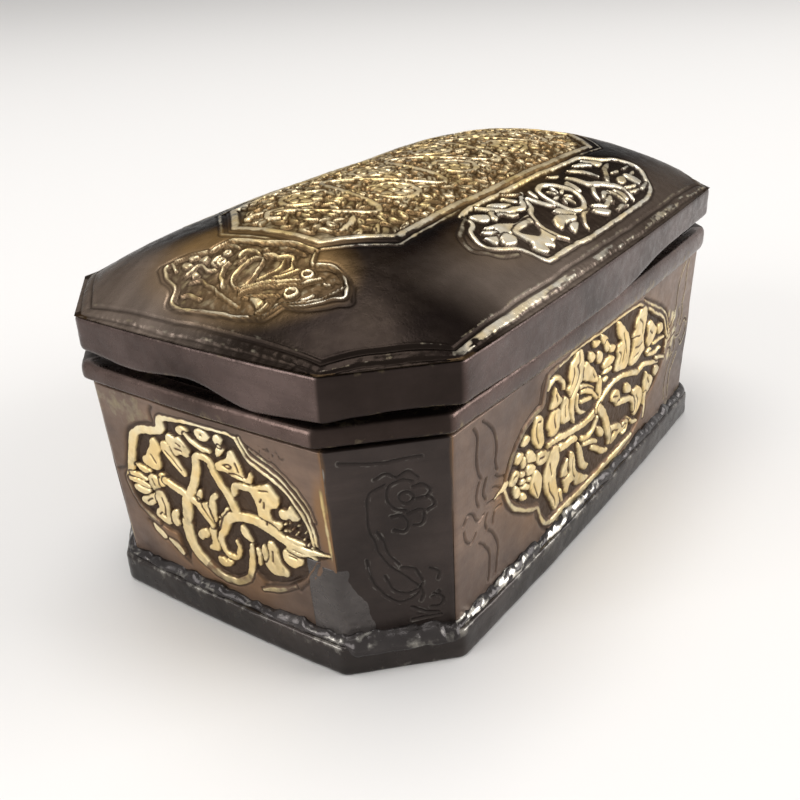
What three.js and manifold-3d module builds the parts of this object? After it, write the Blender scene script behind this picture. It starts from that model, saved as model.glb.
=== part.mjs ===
// A cast brass box: an oblong octagonal body on a projecting foot, and a domed lid that lifts off.
// Units are millimetres. +Z is up, X runs along the long sides, and the front faces -Y.
// The origin is the middle of the flat underside.
import * as THREE from "three";
import Module from "manifold-3d";
import { mergeVertices } from "three/addons/utils/BufferGeometryUtils.js";

// Base plate, whose edge is the foot
const footLength = 190;
const footWidth = 113;
const footChamfer = 20;
const footHeight = 8;
const footUndercutDepth = 3.5;
const footRingWidth = 9;

// Walls, which lean outwards towards the mouth
const footLedge = 2.7;
const wallHeight = 51.2;
const wallThickness = 3;
const wallLeanEnds = 3.8;
const wallLeanSides = 1.2;

// The long sides and the ends of every level bow outwards by this much in the middle
const bowSides = 1.3;
const bowEnds = 0.8;

// Moulding round the mouth
const rimHeight = 6.4;
const rimOverhangEnds = 2.4;
const rimOverhangSides = 1.3;
const rimRounding = 1.2;

// Lid
const lidOversizeEnds = 0.2;
const lidOversizeSides = 0.2;
const skirtHeight = 12;
const skirtThickness = 3;
const domeRise = 18.9;
const domeThickness = 2.6;
const domeFullnessAlong = 4.75;
const domeFullnessAcross = 2.24;
const domeFullnessCorner = 26;

// Locating lip inside the lid, which drops into the mouth
const lipClearance = 2.8;
const lipThickness = 2;
const lipDepth = 5.5;
const lipFlangeThickness = 2;
const lipFlangeAboveEdge = 5;

// The lid sits a little askew, as the loose lip lets it
const lidTwist = THREE.MathUtils.degToRad(0.9);
const lidShiftAcross = -0.9;

// Brazing metal
const beadSize = 2.4;
const patchThickness = 0.8;
const patchHeight = 18;
const patchReach = 7;

// Carving: the ground of each cartouche is cut away, and its main stems stand at the surface
const wallCarvingDepth = 0.85;
const lidCarvingDepth = 0.75;
const vineReach = 11;
const vineWavelength = 30;
const vineWidth = 2;
const scrollRadius = 6.6;

// Running and brazing gaps
const seatGap = 0.3;
const brazeGap = 0.3;

// The hand-filed lower edge of the lid's skirt stands clear of the rim by these amounts, at each quarter of each
// edge. They run anticlockwise from the front corner of the left end. Where one is 0, the lid rests on the rim.
const skirtLifts = [
  [1.3, 1.9, 2.2, 2.2],
  [1.8, 0.3, 0, 3.4],
  [3.3, 2.9, 2.4, 2],
  [1.6, 1.2, 0.8, 0.4],
  [0.2, 0, 0, 0.2],
  [0.3, 0.7, 1.2, 1.8],
  [2.2, 2.6, 2.9, 3.2],
  [3.3, 2, 3.6, 0],
].flat();

// The cartouches, drawn flat as seen from outside: millimetres to the right of the face's middle, and up from the
// wall's foot. A stem is a line of points and its width.
const endGround = [
  [-29.4, 27.3], [-27.7, 32.2], [-24.2, 38.6], [-15, 42.6], [-12.2, 46.6], [10.4, 47.8], [14.9, 42.3],
  [24, 38.4], [28.6, 32], [32.6, 24], [28.6, 18], [23.2, 11], [9, 5], [0, 3.2], [-7, 4.6],
  [-14.5, 8.6], [-23.4, 12.6], [-28.6, 18.6],
];
const endStems = [
  { width: 2.8, line: [[-8.9, 25.6], [-11.4, 18], [-9.8, 10.4], [-1, 5.4], [8, 11.5], [9.9, 19.8]] },
  { width: 2.2, line: [[17, 25.4], [11, 26.6], [4.9, 23.9], [0.3, 15.6], [3.5, 12.3], [6.2, 17]] },
  { width: 2.5, line: [[-8.9, 26.6], [-2.6, 38.6], [0.8, 38.8], [7.6, 27.7]] },
  { width: 3.4, line: [[-28, 24.5], [-20, 26.5], [-10, 27]] },
  { width: 3.6, line: [[-17.6, 24], [-19.4, 15]] },
  { width: 3, line: [[-19.3, 34.5], [-8.4, 39.8]] },
  { width: 3, line: [[4, 39.5], [8.5, 42], [13, 37.5]] },
  { width: 4.2, line: [[15.5, 24], [15.8, 30], [14.6, 34.4], [19.5, 36]] },
  { width: 3.6, line: [[16, 22], [17.5, 13.5]] },
];
const sideGround = [
  [-53.4, 29], [-49.4, 37.2], [-36.6, 42], [-34.2, 47], [-30, 48.2], [23, 47.6], [33.6, 43.4], [47.4, 35.2],
  [53.2, 27.6], [48.2, 18], [35.4, 10.6], [31.4, 4.4], [-30.2, 4.2], [-36, 11.8], [-48, 17.3],
];
const sideStems = [
  { width: 2.4, line: [[-47, 23], [-36, 25], [-23.4, 28], [0, 25], [12.9, 29.2], [30.7, 24.6], [46, 22.8]] },
  { width: 2.2, line: [[0, 25], [6.4, 16.2], [16, 7.4]] },
  { width: 2.2, line: [[6.4, 27.6], [23.6, 22.4], [31.4, 11.2]] },
  { width: 2.2, line: [[0, 25], [-6, 15.6], [-17, 7]] },
  { width: 2.2, line: [[-6.4, 25.8], [-20, 19.6], [-27, 9.4]] },
  { width: 2.4, line: [[0, 25], [-7.4, 36.6], [-15, 46.4]] },
  { width: 2.4, line: [[0, 25], [7.4, 36.4], [13.6, 46.2]] },
  { width: 3, line: [[-26.6, 28], [-29.8, 38.4]] },
  { width: 3, line: [[25.4, 27], [30.8, 36.8], [25.4, 45]] },
  { width: 2.6, line: [[-34.2, 27], [-38.8, 38.2]] },
  { width: 2.6, line: [[34.4, 24.4], [44.4, 35]] },
];

// The lid's cartouches, seen from above in the lid's own x and y: the panel on its crown, then those on the slope
// at the left end and on the front slope. The last two are mirrored onto the slopes opposite.
const panelGround = [
  [-66.5, 12.5], [-66.5, -12.5], [-53.5, -25], [53.5, -25], [66.5, -12.5], [66.5, 12.5], [53.5, 25], [-53.5, 25],
];
const endSlopeGround = [
  [-81.6, 19.6], [-76.6, 14.3], [-75.7, 10.2], [-71.6, 8.8], [-69.6, -15.1], [-73.4, -17.6], [-73.2, -22.3],
  [-77.1, -28.7], [-82.7, -25.7], [-86.6, -18.4], [-90.7, -15.1], [-92.2, 1], [-91.3, 9.9], [-87.9, 13.8],
];
const endSlopeStems = [
  { width: 1.8, line: [[-76.6, -3], [-82.7, -1.2], [-85.7, -3.6], [-82.7, -6.1], [-76.8, -4.4]] },
  { width: 2.2, line: [[-80.4, 13.2], [-84.6, 3.6], [-86.8, -1.8], [-84.4, -9.4], [-79.9, -19.4]] },
  { width: 2, line: [[-82.1, -8.4], [-74.2, -11.4]] },
];
const frontSlopeGround = [
  [-21, -27.4], [-33.3, -29.1], [-41.7, -34.5], [-43.8, -38.7], [-39.2, -43.3], [-30.2, -45.8], [-25.8, -49.9],
  [35.8, -49.9], [40.2, -45.8], [49.2, -43.3], [53.8, -38.7], [51.7, -34.5], [43.3, -29.1], [31, -27.4],
];
const frontSlopeStems = [
  { width: 2.2, line: [[-36, -37.5], [-13.6, -39.6], [-6.7, -33.7]] },
  { width: 2, line: [[-22.5, -30.3], [-18.3, -34.5], [-14, -39.5], [-21, -45.6]] },
  { width: 2, line: [[-9.2, -44], [-3, -42.6], [5, -45], [13, -42.6], [19.2, -44]] },
  { width: 1.8, line: [[5, -33.6], [0.4, -37], [5, -40.4], [9.6, -37], [5.4, -33.8]] },
  { width: 2.2, line: [[46, -37.5], [23.6, -39.6], [16.7, -33.7]] },
  { width: 2, line: [[32.5, -30.3], [28.3, -34.5], [24, -39.5], [31, -45.6]] },
];

// The wall that the cartouches on the walls are drawn for. They grow and shrink with it.
const drawnWall = { height: 51.2, halfEnd: 35.4, halfSide: 73.9 };

// How finely it is drawn: steps along each edge, and the dome's levels as shares of its outline
const sideSteps = 8;
const domeLevels = [1, 0.975, 0.94, 0.88, 0.8, 0.7, 0.57, 0.42, 0.26, 0.1];

// Cuts run this far past the surface that they open
const cutOverrun = 1;

// How much a 45 degree corner's cut grows when its two neighbours both move out by 1
const mitre = 2 - Math.SQRT2;

// An octagon is an oblong whose corners are cut at 45 degrees
function octagon(halfLength, halfWidth, chamfer) {
  return { halfLength, halfWidth, chamfer };
}

// The octagon moved outwards by `ends` at its ends, `sides` at its long sides and their mean at its corners
function grown(shape, ends, sides = ends) {
  const chamfer = shape.chamfer + (mitre * (ends + sides)) / 2;
  return octagon(shape.halfLength + ends, shape.halfWidth + sides, chamfer);
}

// Points round an octagon at height z, anticlockwise from the front corner of the left end. Each of the eight
// edges is divided into equal steps, and z may be a number or a function of the way round, from 0 to 1.
function ring(shape, z, sides = bowSides, ends = bowEnds) {
  const { halfLength: a, halfWidth: b, chamfer: c } = shape;
  const edges = [
    [-a, -b + c, 0, 0],
    [-a + c, -b, 0, -sides],
    [a - c, -b, 0, 0],
    [a, -b + c, ends, 0],
    [a, b - c, 0, 0],
    [a - c, b, 0, sides],
    [-a + c, b, 0, 0],
    [-a, b - c, -ends, 0],
  ];
  const points = [];
  edges.forEach(([x, y, bowX, bowY], edge) => {
    const [nextX, nextY] = edges[(edge + 1) % edges.length];
    for (let step = 0; step < sideSteps; step++) {
      const share = step / sideSteps;
      const bow = 4 * share * (1 - share);
      const height = typeof z === "function" ? z((edge + share) / edges.length) : z;
      points.push(
        new THREE.Vector3(
          THREE.MathUtils.lerp(x, nextX, share) + bow * bowX,
          THREE.MathUtils.lerp(y, nextY, share) + bow * bowY,
          height,
        ),
      );
    }
  });
  return points;
}

// Joins rings of equal length into one closed surface. The last ring joins the first again if `looped`,
// and otherwise each end is closed by a fan to its middle.
function skin(rings, looped) {
  const count = rings[0].length;
  const points = rings.flat();
  const index = [];
  const bands = looped ? rings.length : rings.length - 1;
  for (let band = 0; band < bands; band++) {
    const low = band * count;
    const high = ((band + 1) % rings.length) * count;
    for (let i = 0; i < count; i++) {
      const next = (i + 1) % count;
      index.push(low + i, low + next, high + next);
      index.push(low + i, high + next, high + i);
    }
  }
  if (!looped) {
    closeEnd(points, index, 0, count, true);
    closeEnd(points, index, (rings.length - 1) * count, count, false);
  }
  const geometry = new THREE.BufferGeometry().setFromPoints(points).setIndex(index);
  return facingOut(geometry);
}

function closeEnd(points, index, start, count, first) {
  const middle = points.length;
  const centre = new THREE.Vector3();
  for (let i = 0; i < count; i++) centre.add(points[start + i]);
  points.push(centre.divideScalar(count));
  for (let i = 0; i < count; i++) {
    const a = start + i;
    const b = start + ((i + 1) % count);
    if (first) index.push(middle, b, a);
    else index.push(middle, a, b);
  }
}

function signedVolume(geometry) {
  const position = geometry.getAttribute("position");
  const index = geometry.index.array;
  const [a, b, c] = [new THREE.Vector3(), new THREE.Vector3(), new THREE.Vector3()];
  let volume = 0;
  for (let i = 0; i < index.length; i += 3) {
    a.fromBufferAttribute(position, index[i]);
    b.fromBufferAttribute(position, index[i + 1]);
    c.fromBufferAttribute(position, index[i + 2]);
    volume += a.dot(b.cross(c)) / 6;
  }
  return volume;
}

function facingOut(geometry) {
  if (signedVolume(geometry) < 0) {
    const index = geometry.index.array;
    for (let i = 0; i < index.length; i += 3) {
      [index[i + 1], index[i + 2]] = [index[i + 2], index[i + 1]];
    }
  }
  return geometry;
}

const wasm = await Module();
wasm.setup();

function solidOf(geometry) {
  const bare = new THREE.BufferGeometry().setAttribute(
    "position",
    geometry.index ? geometry.toNonIndexed().getAttribute("position") : geometry.getAttribute("position"),
  );
  const merged = mergeVertices(bare);
  return new wasm.Manifold(
    new wasm.Mesh({
      numProp: 3,
      vertProperties: merged.getAttribute("position").array,
      triVerts: new Uint32Array(merged.index.array),
    }),
  );
}

function geometryOf(solid) {
  const mesh = solid.getMesh();
  const geometry = new THREE.BufferGeometry();
  geometry.setAttribute("position", new THREE.BufferAttribute(mesh.vertProperties, 3));
  return geometry.setIndex(new THREE.BufferAttribute(mesh.triVerts, 1));
}

// Heights, from the table up
const wallFoot = footHeight;
const rimBottom = wallFoot + wallHeight;
const rimTop = rimBottom + rimHeight;
const skirtBottom = rimTop + seatGap;
const skirtTop = skirtBottom + skirtHeight;

// Outlines, from the foot up
const foot = octagon(footLength / 2, footWidth / 2, footChamfer);
const wallLow = grown(foot, -footLedge);
const wallHigh = grown(wallLow, wallLeanEnds, wallLeanSides);
const cavityLow = grown(wallLow, -wallThickness);
const mouth = grown(wallHigh, -wallThickness);
const rim = grown(wallHigh, rimOverhangEnds, rimOverhangSides);
const skirtOuter = grown(rim, lidOversizeEnds, lidOversizeSides);
const skirtInner = grown(skirtOuter, -skirtThickness);
const lipOuter = grown(mouth, -lipClearance);
const lipInner = grown(lipOuter, -lipThickness);

// Finishes
const patinatedBrass = { color: 0x4a3a2c, roughness: 0.38, metalness: 0.9 };
const wornBrass = { color: 0x8d6f3f, roughness: 0.35, metalness: 0.95 };
const brazingMetal = { color: 0x5d5650, roughness: 0.55, metalness: 0.85 };

// A closed outline as a block, from `low` to `high` along the third axis
function block(points, low, high) {
  const shape = new THREE.Shape(points.map(([x, y]) => new THREE.Vector2(x, y)));
  const depth = high - low;
  return new THREE.ExtrudeGeometry(shape, { depth, bevelEnabled: false }).translate(0, 0, low);
}

// The outline of a stem: along its line on one side, and back on the other
function stemOutline({ width, line }) {
  const sides = [[], []];
  line.forEach(([x, y], i) => {
    const [beforeX, beforeY] = line[Math.max(0, i - 1)];
    const [afterX, afterY] = line[Math.min(line.length - 1, i + 1)];
    const across = new THREE.Vector2(beforeY - afterY, afterX - beforeX).setLength(width / 2);
    sides[0].push([x - across.x, y - across.y]);
    sides[1].unshift([x + across.x, y + across.y]);
  });
  return sides.flat();
}

// The ground of a cartouche with its stems left standing, as a block that `place` sets against its face
function groundStencil(ground, stems, low, high, place) {
  const overrun = 0.5;
  let stencil = solidOf(place(block(ground, low, high)));
  for (const stem of stems) {
    stencil = stencil.subtract(solidOf(place(block(stemOutline(stem), low - overrun, high + overrun))));
  }
  return stencil;
}

function piece(name, geometry, finish) {
  geometry.computeVertexNormals();
  const mesh = new THREE.Mesh(geometry, new THREE.MeshStandardMaterial(finish));
  mesh.name = name;
  return mesh;
}

// The base plate is a flat casting, hollowed underneath inside the ring that it stands on
function basePlate() {
  const hollow = grown(foot, -footRingWidth);
  const plate = skin([ring(foot, 0), ring(foot, footHeight)], false);
  const undercut = skin([ring(hollow, -cutOverrun), ring(hollow, footUndercutDepth)], false);
  const cast = solidOf(plate).subtract(solidOf(undercut));
  return piece("base_plate", geometryOf(cast), patinatedBrass);
}

// The walls carry a cartouche on each end and each long side, cut to an even depth below the surface
function bodyWall() {
  const rings = [
    ring(wallLow, wallFoot),
    ring(wallHigh, rimBottom),
    ring(mouth, rimBottom),
    ring(cavityLow, wallFoot),
  ];
  const cutRings = [
    ring(grown(wallLow, cutOverrun), wallFoot),
    ring(grown(wallHigh, cutOverrun), rimBottom),
    ring(grown(wallHigh, -wallCarvingDepth), rimBottom),
    ring(grown(wallLow, -wallCarvingDepth), wallFoot),
  ];
  const { halfLength, halfWidth, chamfer } = wallLow;
  const upright = wallHeight / drawnWall.height;
  const endStretch = (halfWidth - chamfer) / drawnWall.halfEnd;
  const sideStretch = (halfLength - chamfer) / drawnWall.halfSide;
  const faces = [
    { ground: sideGround, stems: sideStems, stretch: sideStretch, turn: 0, out: halfWidth },
    { ground: endGround, stems: endStems, stretch: endStretch, turn: Math.PI / 2, out: halfLength },
    { ground: sideGround, stems: sideStems, stretch: sideStretch, turn: Math.PI, out: halfWidth },
    { ground: endGround, stems: endStems, stretch: endStretch, turn: -Math.PI / 2, out: halfLength },
  ];
  const reach = wallLeanEnds + bowSides + cutOverrun;
  let wall = solidOf(skin(rings, true));
  for (const { ground, stems, stretch, turn, out } of faces) {
    const place = (drawing) =>
      drawing
        .scale(stretch, upright, 1)
        .rotateX(Math.PI / 2)
        .translate(0, -out, wallFoot)
        .rotateZ(turn);
    const stencil = groundStencil(ground, stems, -wallThickness, reach, place);
    wall = wall.subtract(stencil.intersect(solidOf(skin(cutRings, true))));
  }
  return piece("body_wall", geometryOf(wall), patinatedBrass);
}

// The moulding stands on the walls, and its two outer edges are eased
function rimBand() {
  const eased = grown(rim, -rimRounding);
  const rings = [
    ring(eased, rimBottom),
    ring(rim, rimBottom + rimRounding),
    ring(rim, rimTop - rimRounding),
    ring(eased, rimTop),
    ring(mouth, rimTop),
    ring(mouth, rimBottom),
  ];
  return piece("rim_band", skin(rings, true), patinatedBrass);
}

// The walls' outline at a height above the base plate, stood off by a gap
function wallOutline(height, gap) {
  const share = height / wallHeight;
  return grown(wallLow, wallLeanEnds * share + gap, wallLeanSides * share + gap);
}

// The bead of brazing metal that joins the walls to the plate, lying in the corner between them
function footBraze() {
  const rings = [
    ring(wallOutline(0, brazeGap), wallFoot),
    ring(wallOutline(0, brazeGap + beadSize), wallFoot),
    ring(wallOutline(beadSize, brazeGap + beadSize / 3), wallFoot + beadSize),
    ring(wallOutline(beadSize, brazeGap), wallFoot + beadSize),
  ];
  return piece("foot_braze", skin(rings, true), brazingMetal);
}

// The flow of brazing metal over the seam at the front corner of the left end, above the bead
function seamBraze() {
  const low = beadSize + brazeGap;
  const high = low + patchHeight;
  const rings = [
    ring(wallOutline(low, brazeGap), wallFoot + low),
    ring(wallOutline(low, brazeGap + patchThickness), wallFoot + low),
    ring(wallOutline(high, brazeGap + patchThickness / 2), wallFoot + high),
    ring(wallOutline(high, brazeGap), wallFoot + high),
  ];
  const [seam] = ring(wallLow, wallFoot);
  const reach = new THREE.Shape();
  reach.moveTo(-patchReach, 0);
  reach.quadraticCurveTo(-patchReach / 2, patchHeight, 0, patchHeight);
  reach.quadraticCurveTo(patchReach, patchHeight / 2, patchReach, 0);
  const stencil = new THREE.ExtrudeGeometry(reach, {
    depth: 4 * patchReach,
    bevelEnabled: false,
    curveSegments: 5,
  });
  // The outline faces outwards from the seam, halfway between the end and the corner facet
  stencil.translate(0, 0, -2 * patchReach);
  stencil.rotateX(Math.PI / 2);
  stencil.rotateZ(-Math.PI / 2 + Math.PI / 8);
  stencil.translate(seam.x, seam.y, wallFoot + low);
  const flow = solidOf(skin(rings, true)).intersect(solidOf(stencil));
  return piece("seam_braze", geometryOf(flow), brazingMetal);
}

// How far the skirt's lower edge stands clear of its seat, for a way round from 0 to 1
function skirtLift(around) {
  const place = around * skirtLifts.length;
  const before = Math.floor(place);
  const share = (1 - Math.cos(Math.PI * (place - before))) / 2;
  const from = skirtLifts[before % skirtLifts.length];
  const to = skirtLifts[(before + 1) % skirtLifts.length];
  return THREE.MathUtils.lerp(from, to, share);
}

function lidSkirt() {
  const edge = (around) => skirtBottom + skirtLift(around);
  const rings = [
    ring(skirtOuter, edge),
    ring(skirtOuter, skirtTop),
    ring(skirtInner, skirtTop),
    ring(skirtInner, edge),
  ];
  return piece("lid_skirt", skin(rings, true), patinatedBrass);
}

// The dome's height at x, y over a straight-sided octagon, from 0 at its edge to 1 in the middle
function domeShare(shape, x, y) {
  const along = Math.abs(x) / shape.halfLength;
  const across = Math.abs(y) / shape.halfWidth;
  const corner = (Math.abs(x) + Math.abs(y)) / (shape.halfLength + shape.halfWidth - shape.chamfer);
  return (
    (1 - Math.min(1, along) ** domeFullnessAlong) *
    (1 - Math.min(1, across) ** domeFullnessAcross) *
    (1 - Math.min(1, corner) ** domeFullnessCorner)
  );
}

// The dome over an octagon, as rings that close in on its crown
function domeOver(shape, rise) {
  const outline = ring(shape, skirtTop);
  const straight = ring(shape, skirtTop, 0, 0);
  return domeLevels.map((level) =>
    outline.map(({ x, y }, i) => {
      const height = rise * domeShare(shape, straight[i].x * level, straight[i].y * level);
      return new THREE.Vector3(x * level, y * level, skirtTop + height);
    }),
  );
}

// The panel's vine waves from end to end, with a scroll in each bend
function panelStems() {
  const [farEnd] = panelGround[0];
  const wave = (x) => vineReach * Math.sin((2 * Math.PI * (x - farEnd)) / vineWavelength + Math.PI / 2);
  const bends = Math.round((-2 * farEnd) / vineWavelength) * 2;
  const line = [];
  for (let step = 0; step <= bends * 3; step++) {
    const x = farEnd + (step * vineWavelength) / 6;
    line.push([x, wave(x)]);
  }
  const stems = [{ width: vineWidth, line }];
  for (let bend = 1; bend < bends; bend++) {
    const x = farEnd + (bend * vineWavelength) / 2;
    const y = (-wave(x) / vineReach) * (vineReach - vineWidth);
    const scroll = [];
    for (let turn = 0; turn <= 6; turn++) {
      const angle = (turn / 7) * 2 * Math.PI;
      scroll.push([x + scrollRadius * Math.cos(angle), y + scrollRadius * Math.sin(angle)]);
    }
    stems.push({ width: vineWidth, line: scroll });
  }
  return stems;
}

function mirrored(points, x, y) {
  const flipped = points.map((point) => [x * point[0], y * point[1]]);
  return x * y < 0 ? flipped.reverse() : flipped;
}

// The domed plate is one shell, open underneath, whose edge lies on the skirt. Its crown and slopes are carved.
function lidTop() {
  const outside = solidOf(skin(domeOver(skirtOuter, domeRise), false));
  const mouthOfHollow = ring(skirtInner, skirtTop - cutOverrun);
  const hollow = skin([mouthOfHollow, ...domeOver(skirtInner, domeRise - domeThickness)], false);
  const carvings = [
    { ground: panelGround, stems: panelStems(), x: 1, y: 1 },
    { ground: endSlopeGround, stems: endSlopeStems, x: 1, y: 1 },
    { ground: endSlopeGround, stems: endSlopeStems, x: -1, y: 1 },
    { ground: frontSlopeGround, stems: frontSlopeStems, x: 1, y: 1 },
    { ground: frontSlopeGround, stems: frontSlopeStems, x: -1, y: -1 },
  ];
  const floor = outside.translate([0, 0, -lidCarvingDepth]);
  let plate = outside.subtract(solidOf(hollow));
  for (const { ground, stems, x, y } of carvings) {
    const turned = stems.map(({ width, line }) => ({ width, line: mirrored(line, x, y) }));
    const high = skirtTop + domeRise + cutOverrun;
    const stencil = groundStencil(mirrored(ground, x, y), turned, skirtTop, high, (drawing) => drawing);
    plate = plate.subtract(stencil.subtract(floor));
  }
  return piece("lid_top", geometryOf(plate), wornBrass);
}

// The lip is a band with a flange that meets the skirt's inner face
function lidLip() {
  const flangeBottom = skirtBottom + lipFlangeAboveEdge;
  const flangeTop = flangeBottom + lipFlangeThickness;
  const flangeOuter = grown(skirtInner, -brazeGap);
  const lipBottom = rimTop - lipDepth;
  const rings = [
    ring(lipInner, lipBottom),
    ring(lipOuter, lipBottom),
    ring(lipOuter, flangeBottom),
    ring(flangeOuter, flangeBottom),
    ring(flangeOuter, flangeTop),
    ring(lipInner, flangeTop),
  ];
  return piece("lid_lip", skin(rings, true), patinatedBrass);
}

const lid = new THREE.Group();
lid.add(lidSkirt(), lidTop(), lidLip());
lid.rotation.z = lidTwist;
lid.position.y = lidShiftAcross;

const box = new THREE.Group();
box.add(basePlate(), bodyWall(), rimBand(), footBraze(), seamBraze(), lid);

export default box;
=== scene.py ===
"""Looks for a carved brass box: chased relief on its walls and domed lid, patina, worn brass and brazing.

Sizes are in millimetres until a mesh is made. The frame is the CAD's: +Z up, X along the long sides, the
front at -Y. A face is drawn flat, as seen from outside: s runs left to right from its middle, and h is the
height above its foot.
"""

import math

import bpy
import numpy as np
from mathutils import Matrix, Vector


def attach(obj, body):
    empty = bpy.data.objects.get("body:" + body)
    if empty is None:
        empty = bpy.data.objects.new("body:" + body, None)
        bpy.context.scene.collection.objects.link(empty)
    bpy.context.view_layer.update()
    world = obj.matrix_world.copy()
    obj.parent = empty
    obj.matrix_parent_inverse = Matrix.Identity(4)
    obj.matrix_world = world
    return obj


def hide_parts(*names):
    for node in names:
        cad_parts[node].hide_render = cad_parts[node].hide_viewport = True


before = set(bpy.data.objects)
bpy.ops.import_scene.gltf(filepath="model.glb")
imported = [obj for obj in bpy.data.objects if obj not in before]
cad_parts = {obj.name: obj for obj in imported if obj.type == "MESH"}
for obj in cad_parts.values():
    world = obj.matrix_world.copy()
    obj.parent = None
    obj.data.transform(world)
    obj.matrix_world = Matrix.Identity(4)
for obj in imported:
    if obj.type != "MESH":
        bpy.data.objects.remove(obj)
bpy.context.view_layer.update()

# Driving sizes, as the CAD model's
FOOT = (95.0, 56.5, 20.0)
FOOT_HEIGHT = 8.0
FOOT_RING = 9.0
FOOT_HOLLOW = 3.5
FOOT_LEDGE = 2.7
WALL_HEIGHT = 51.2
WALL_THICKNESS = 3.0
LEAN_ENDS = 3.8
LEAN_SIDES = 1.2
BOW_SIDES = 1.3
BOW_ENDS = 0.8
RIM_HEIGHT = 6.4
RIM_OVER_ENDS = 2.4
RIM_OVER_SIDES = 1.3
LID_OVER = 0.2
SEAT_GAP = 0.3
SKIRT_HEIGHT = 12.0
SKIRT_THICKNESS = 3.0
DOME_RISE = 18.9
DOME_THICKNESS = 2.6
DOME_ALONG = 4.75
DOME_ACROSS = 2.24
DOME_CORNER = 26.0
LID_TWIST = math.radians(0.9)
LID_SHIFT = -0.9
MITRE = 2 - math.sqrt(2)

# How far the lid's lower edge stands above the rim, at four places on each of the eight edges
SKIRT_LIFTS = (
    (1.3, 1.9, 2.2, 2.2), (1.8, 0.3, 0, 3.4), (3.3, 2.9, 2.4, 2), (1.6, 1.2, 0.8, 0.4),
    (0.2, 0, 0, 0.2), (0.3, 0.7, 1.2, 1.8), (2.2, 2.6, 2.9, 3.2), (3.3, 2, 3.6, 0),
)
# How far the rim's lower edge stands above the plain line, at the same places
RIM_LIFTS = (
    (1.4, 1.4, 1.4, 1.3), (1.2, 0.2, -0.8, -0.9), (-0.9, -0.6, -0.2, 0), (0.2, 0, 0.4, 0.1),
    (0, 0.2, 0, -0.2), (-0.3, -0.5, -0.3, 0), (0.3, 0.5, 0.8, 1.1), (1.4, 1.5, 1.3, 1.4),
)

# Hand work: corner radii, cut depths, the height of what stands, and how soft and ragged its edge is
WALL_ROUND = 1.5
INNER_ROUND = 0.6
RING_ROUND = 1.3
GROUND_DEPTH = 0.9
LID_GROUND_DEPTH = 0.7
HOLE_DEPTH = 0.6
GROOVE_WIDTH = 0.45
GROOVE_DEPTH = 0.4
VEIN_WIDTH = 0.26
CUT_PLACE = 0.34
CUT_WIDTH = 0.26
CUT_DEPTH = 0.2
STEM_TOP = -0.05
BAND_TOP = 0.05
LEAF_TOP = -0.08
STEM_CROWN = 0.06
SHAPE_CROWN = 0.05
LEAF_CROWN = 0.1
SPREAD = 0.1
RAGGED = 0.09
EDGE_SOFT = 0.16
WAVER = 0.16
LINE_STEP = 0.5
LID_STEP = 0.35

WALL_TOP = FOOT_HEIGHT + WALL_HEIGHT
RIM_TOP = WALL_TOP + RIM_HEIGHT
SKIRT_BOTTOM = RIM_TOP + SEAT_GAP
SKIRT_TOP = SKIRT_BOTTOM + SKIRT_HEIGHT

# The photograph's camera: place in millimetres, aim and roll in radians, and lens in pixels of its frame
CAMERA_PLACE = (-228.33, -149.89, 155.13)
CAMERA_YAW = 0.0364
CAMERA_PITCH = -0.4511
CAMERA_ROLL = -0.0418
CAMERA_FOCAL = 969.0
FRAME_PIXELS = 800
SENSOR = 36.0


# Outlines of the box


def grown(shape, ends, sides=None):
    """The octagon moved outwards by ends and sides, and by their mean at its cut corners."""
    sides = ends if sides is None else sides
    return (shape[0] + ends, shape[1] + sides, shape[2] + MITRE * (ends + sides) / 2)


def scaled(shape, share):
    return tuple(size * share for size in shape)


WALL_LOW = grown(FOOT, -FOOT_LEDGE)
WALL_HIGH = grown(WALL_LOW, LEAN_ENDS, LEAN_SIDES)
RIM = grown(WALL_HIGH, RIM_OVER_ENDS, RIM_OVER_SIDES)
SKIRT = grown(RIM, LID_OVER)
MOUTH = grown(WALL_HIGH, -WALL_THICKNESS)
BOWS = (0.0, BOW_SIDES, 0.0, BOW_ENDS, 0.0, BOW_SIDES, 0.0, BOW_ENDS)


def wall_shape(height):
    """The walls' octagon at a height above their foot."""
    share = height / WALL_HEIGHT
    return tuple(a + (b - a) * share for a, b in zip(WALL_LOW, WALL_HIGH))


def corner(shape, number):
    """One corner of the octagon, counted anticlockwise from the front corner of the left end."""
    a, b, c = shape
    quarter = ((-a, c - b), (c - a, -b), (a - c, -b), (a, c - b))
    number %= 8
    x, y = quarter[number % 4]
    return np.array((x, y) if number < 4 else (-x, -y))


def edge_of(shape, edge):
    """Middle, direction, outward normal and length of one edge of the octagon."""
    start, end = corner(shape, edge), corner(shape, edge + 1)
    length = np.linalg.norm(end - start)
    along = (end - start) / length
    return (start + end) / 2, along, np.array([along[1], -along[0]]), length


def outline(shape, edge, t, radius):
    """Points and outward normals of the octagon at shares t of one edge, with its corners rounded."""
    middle, along, outward, length = edge_of(shape, edge)
    s = (t - 0.5) * length
    xy = middle + s[:, None] * along
    normal = np.tile(outward, (len(t), 1))
    for end in (-1, 1):
        gap = length / 2 - end * s
        near = gap < radius
        k = ((radius - gap[near]) / (2 * radius))[:, None]
        turn = middle + end * length / 2 * along
        before = turn - end * radius * along
        after = turn + end * radius * edge_of(shape, (edge + end) % 8)[1]
        xy[near] = (1 - k) ** 2 * before + 2 * k * (1 - k) * turn + k * k * after
        tangent = end * ((1 - k) * (turn - before) + k * (after - turn))
        tangent /= np.linalg.norm(tangent, axis=1)[:, None]
        normal[near] = np.stack([tangent[:, 1], -tangent[:, 0]], 1)
    xy += (BOWS[edge] * 4 * t * (1 - t))[:, None] * outward
    return xy, normal


# Shapes for hand work


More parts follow.
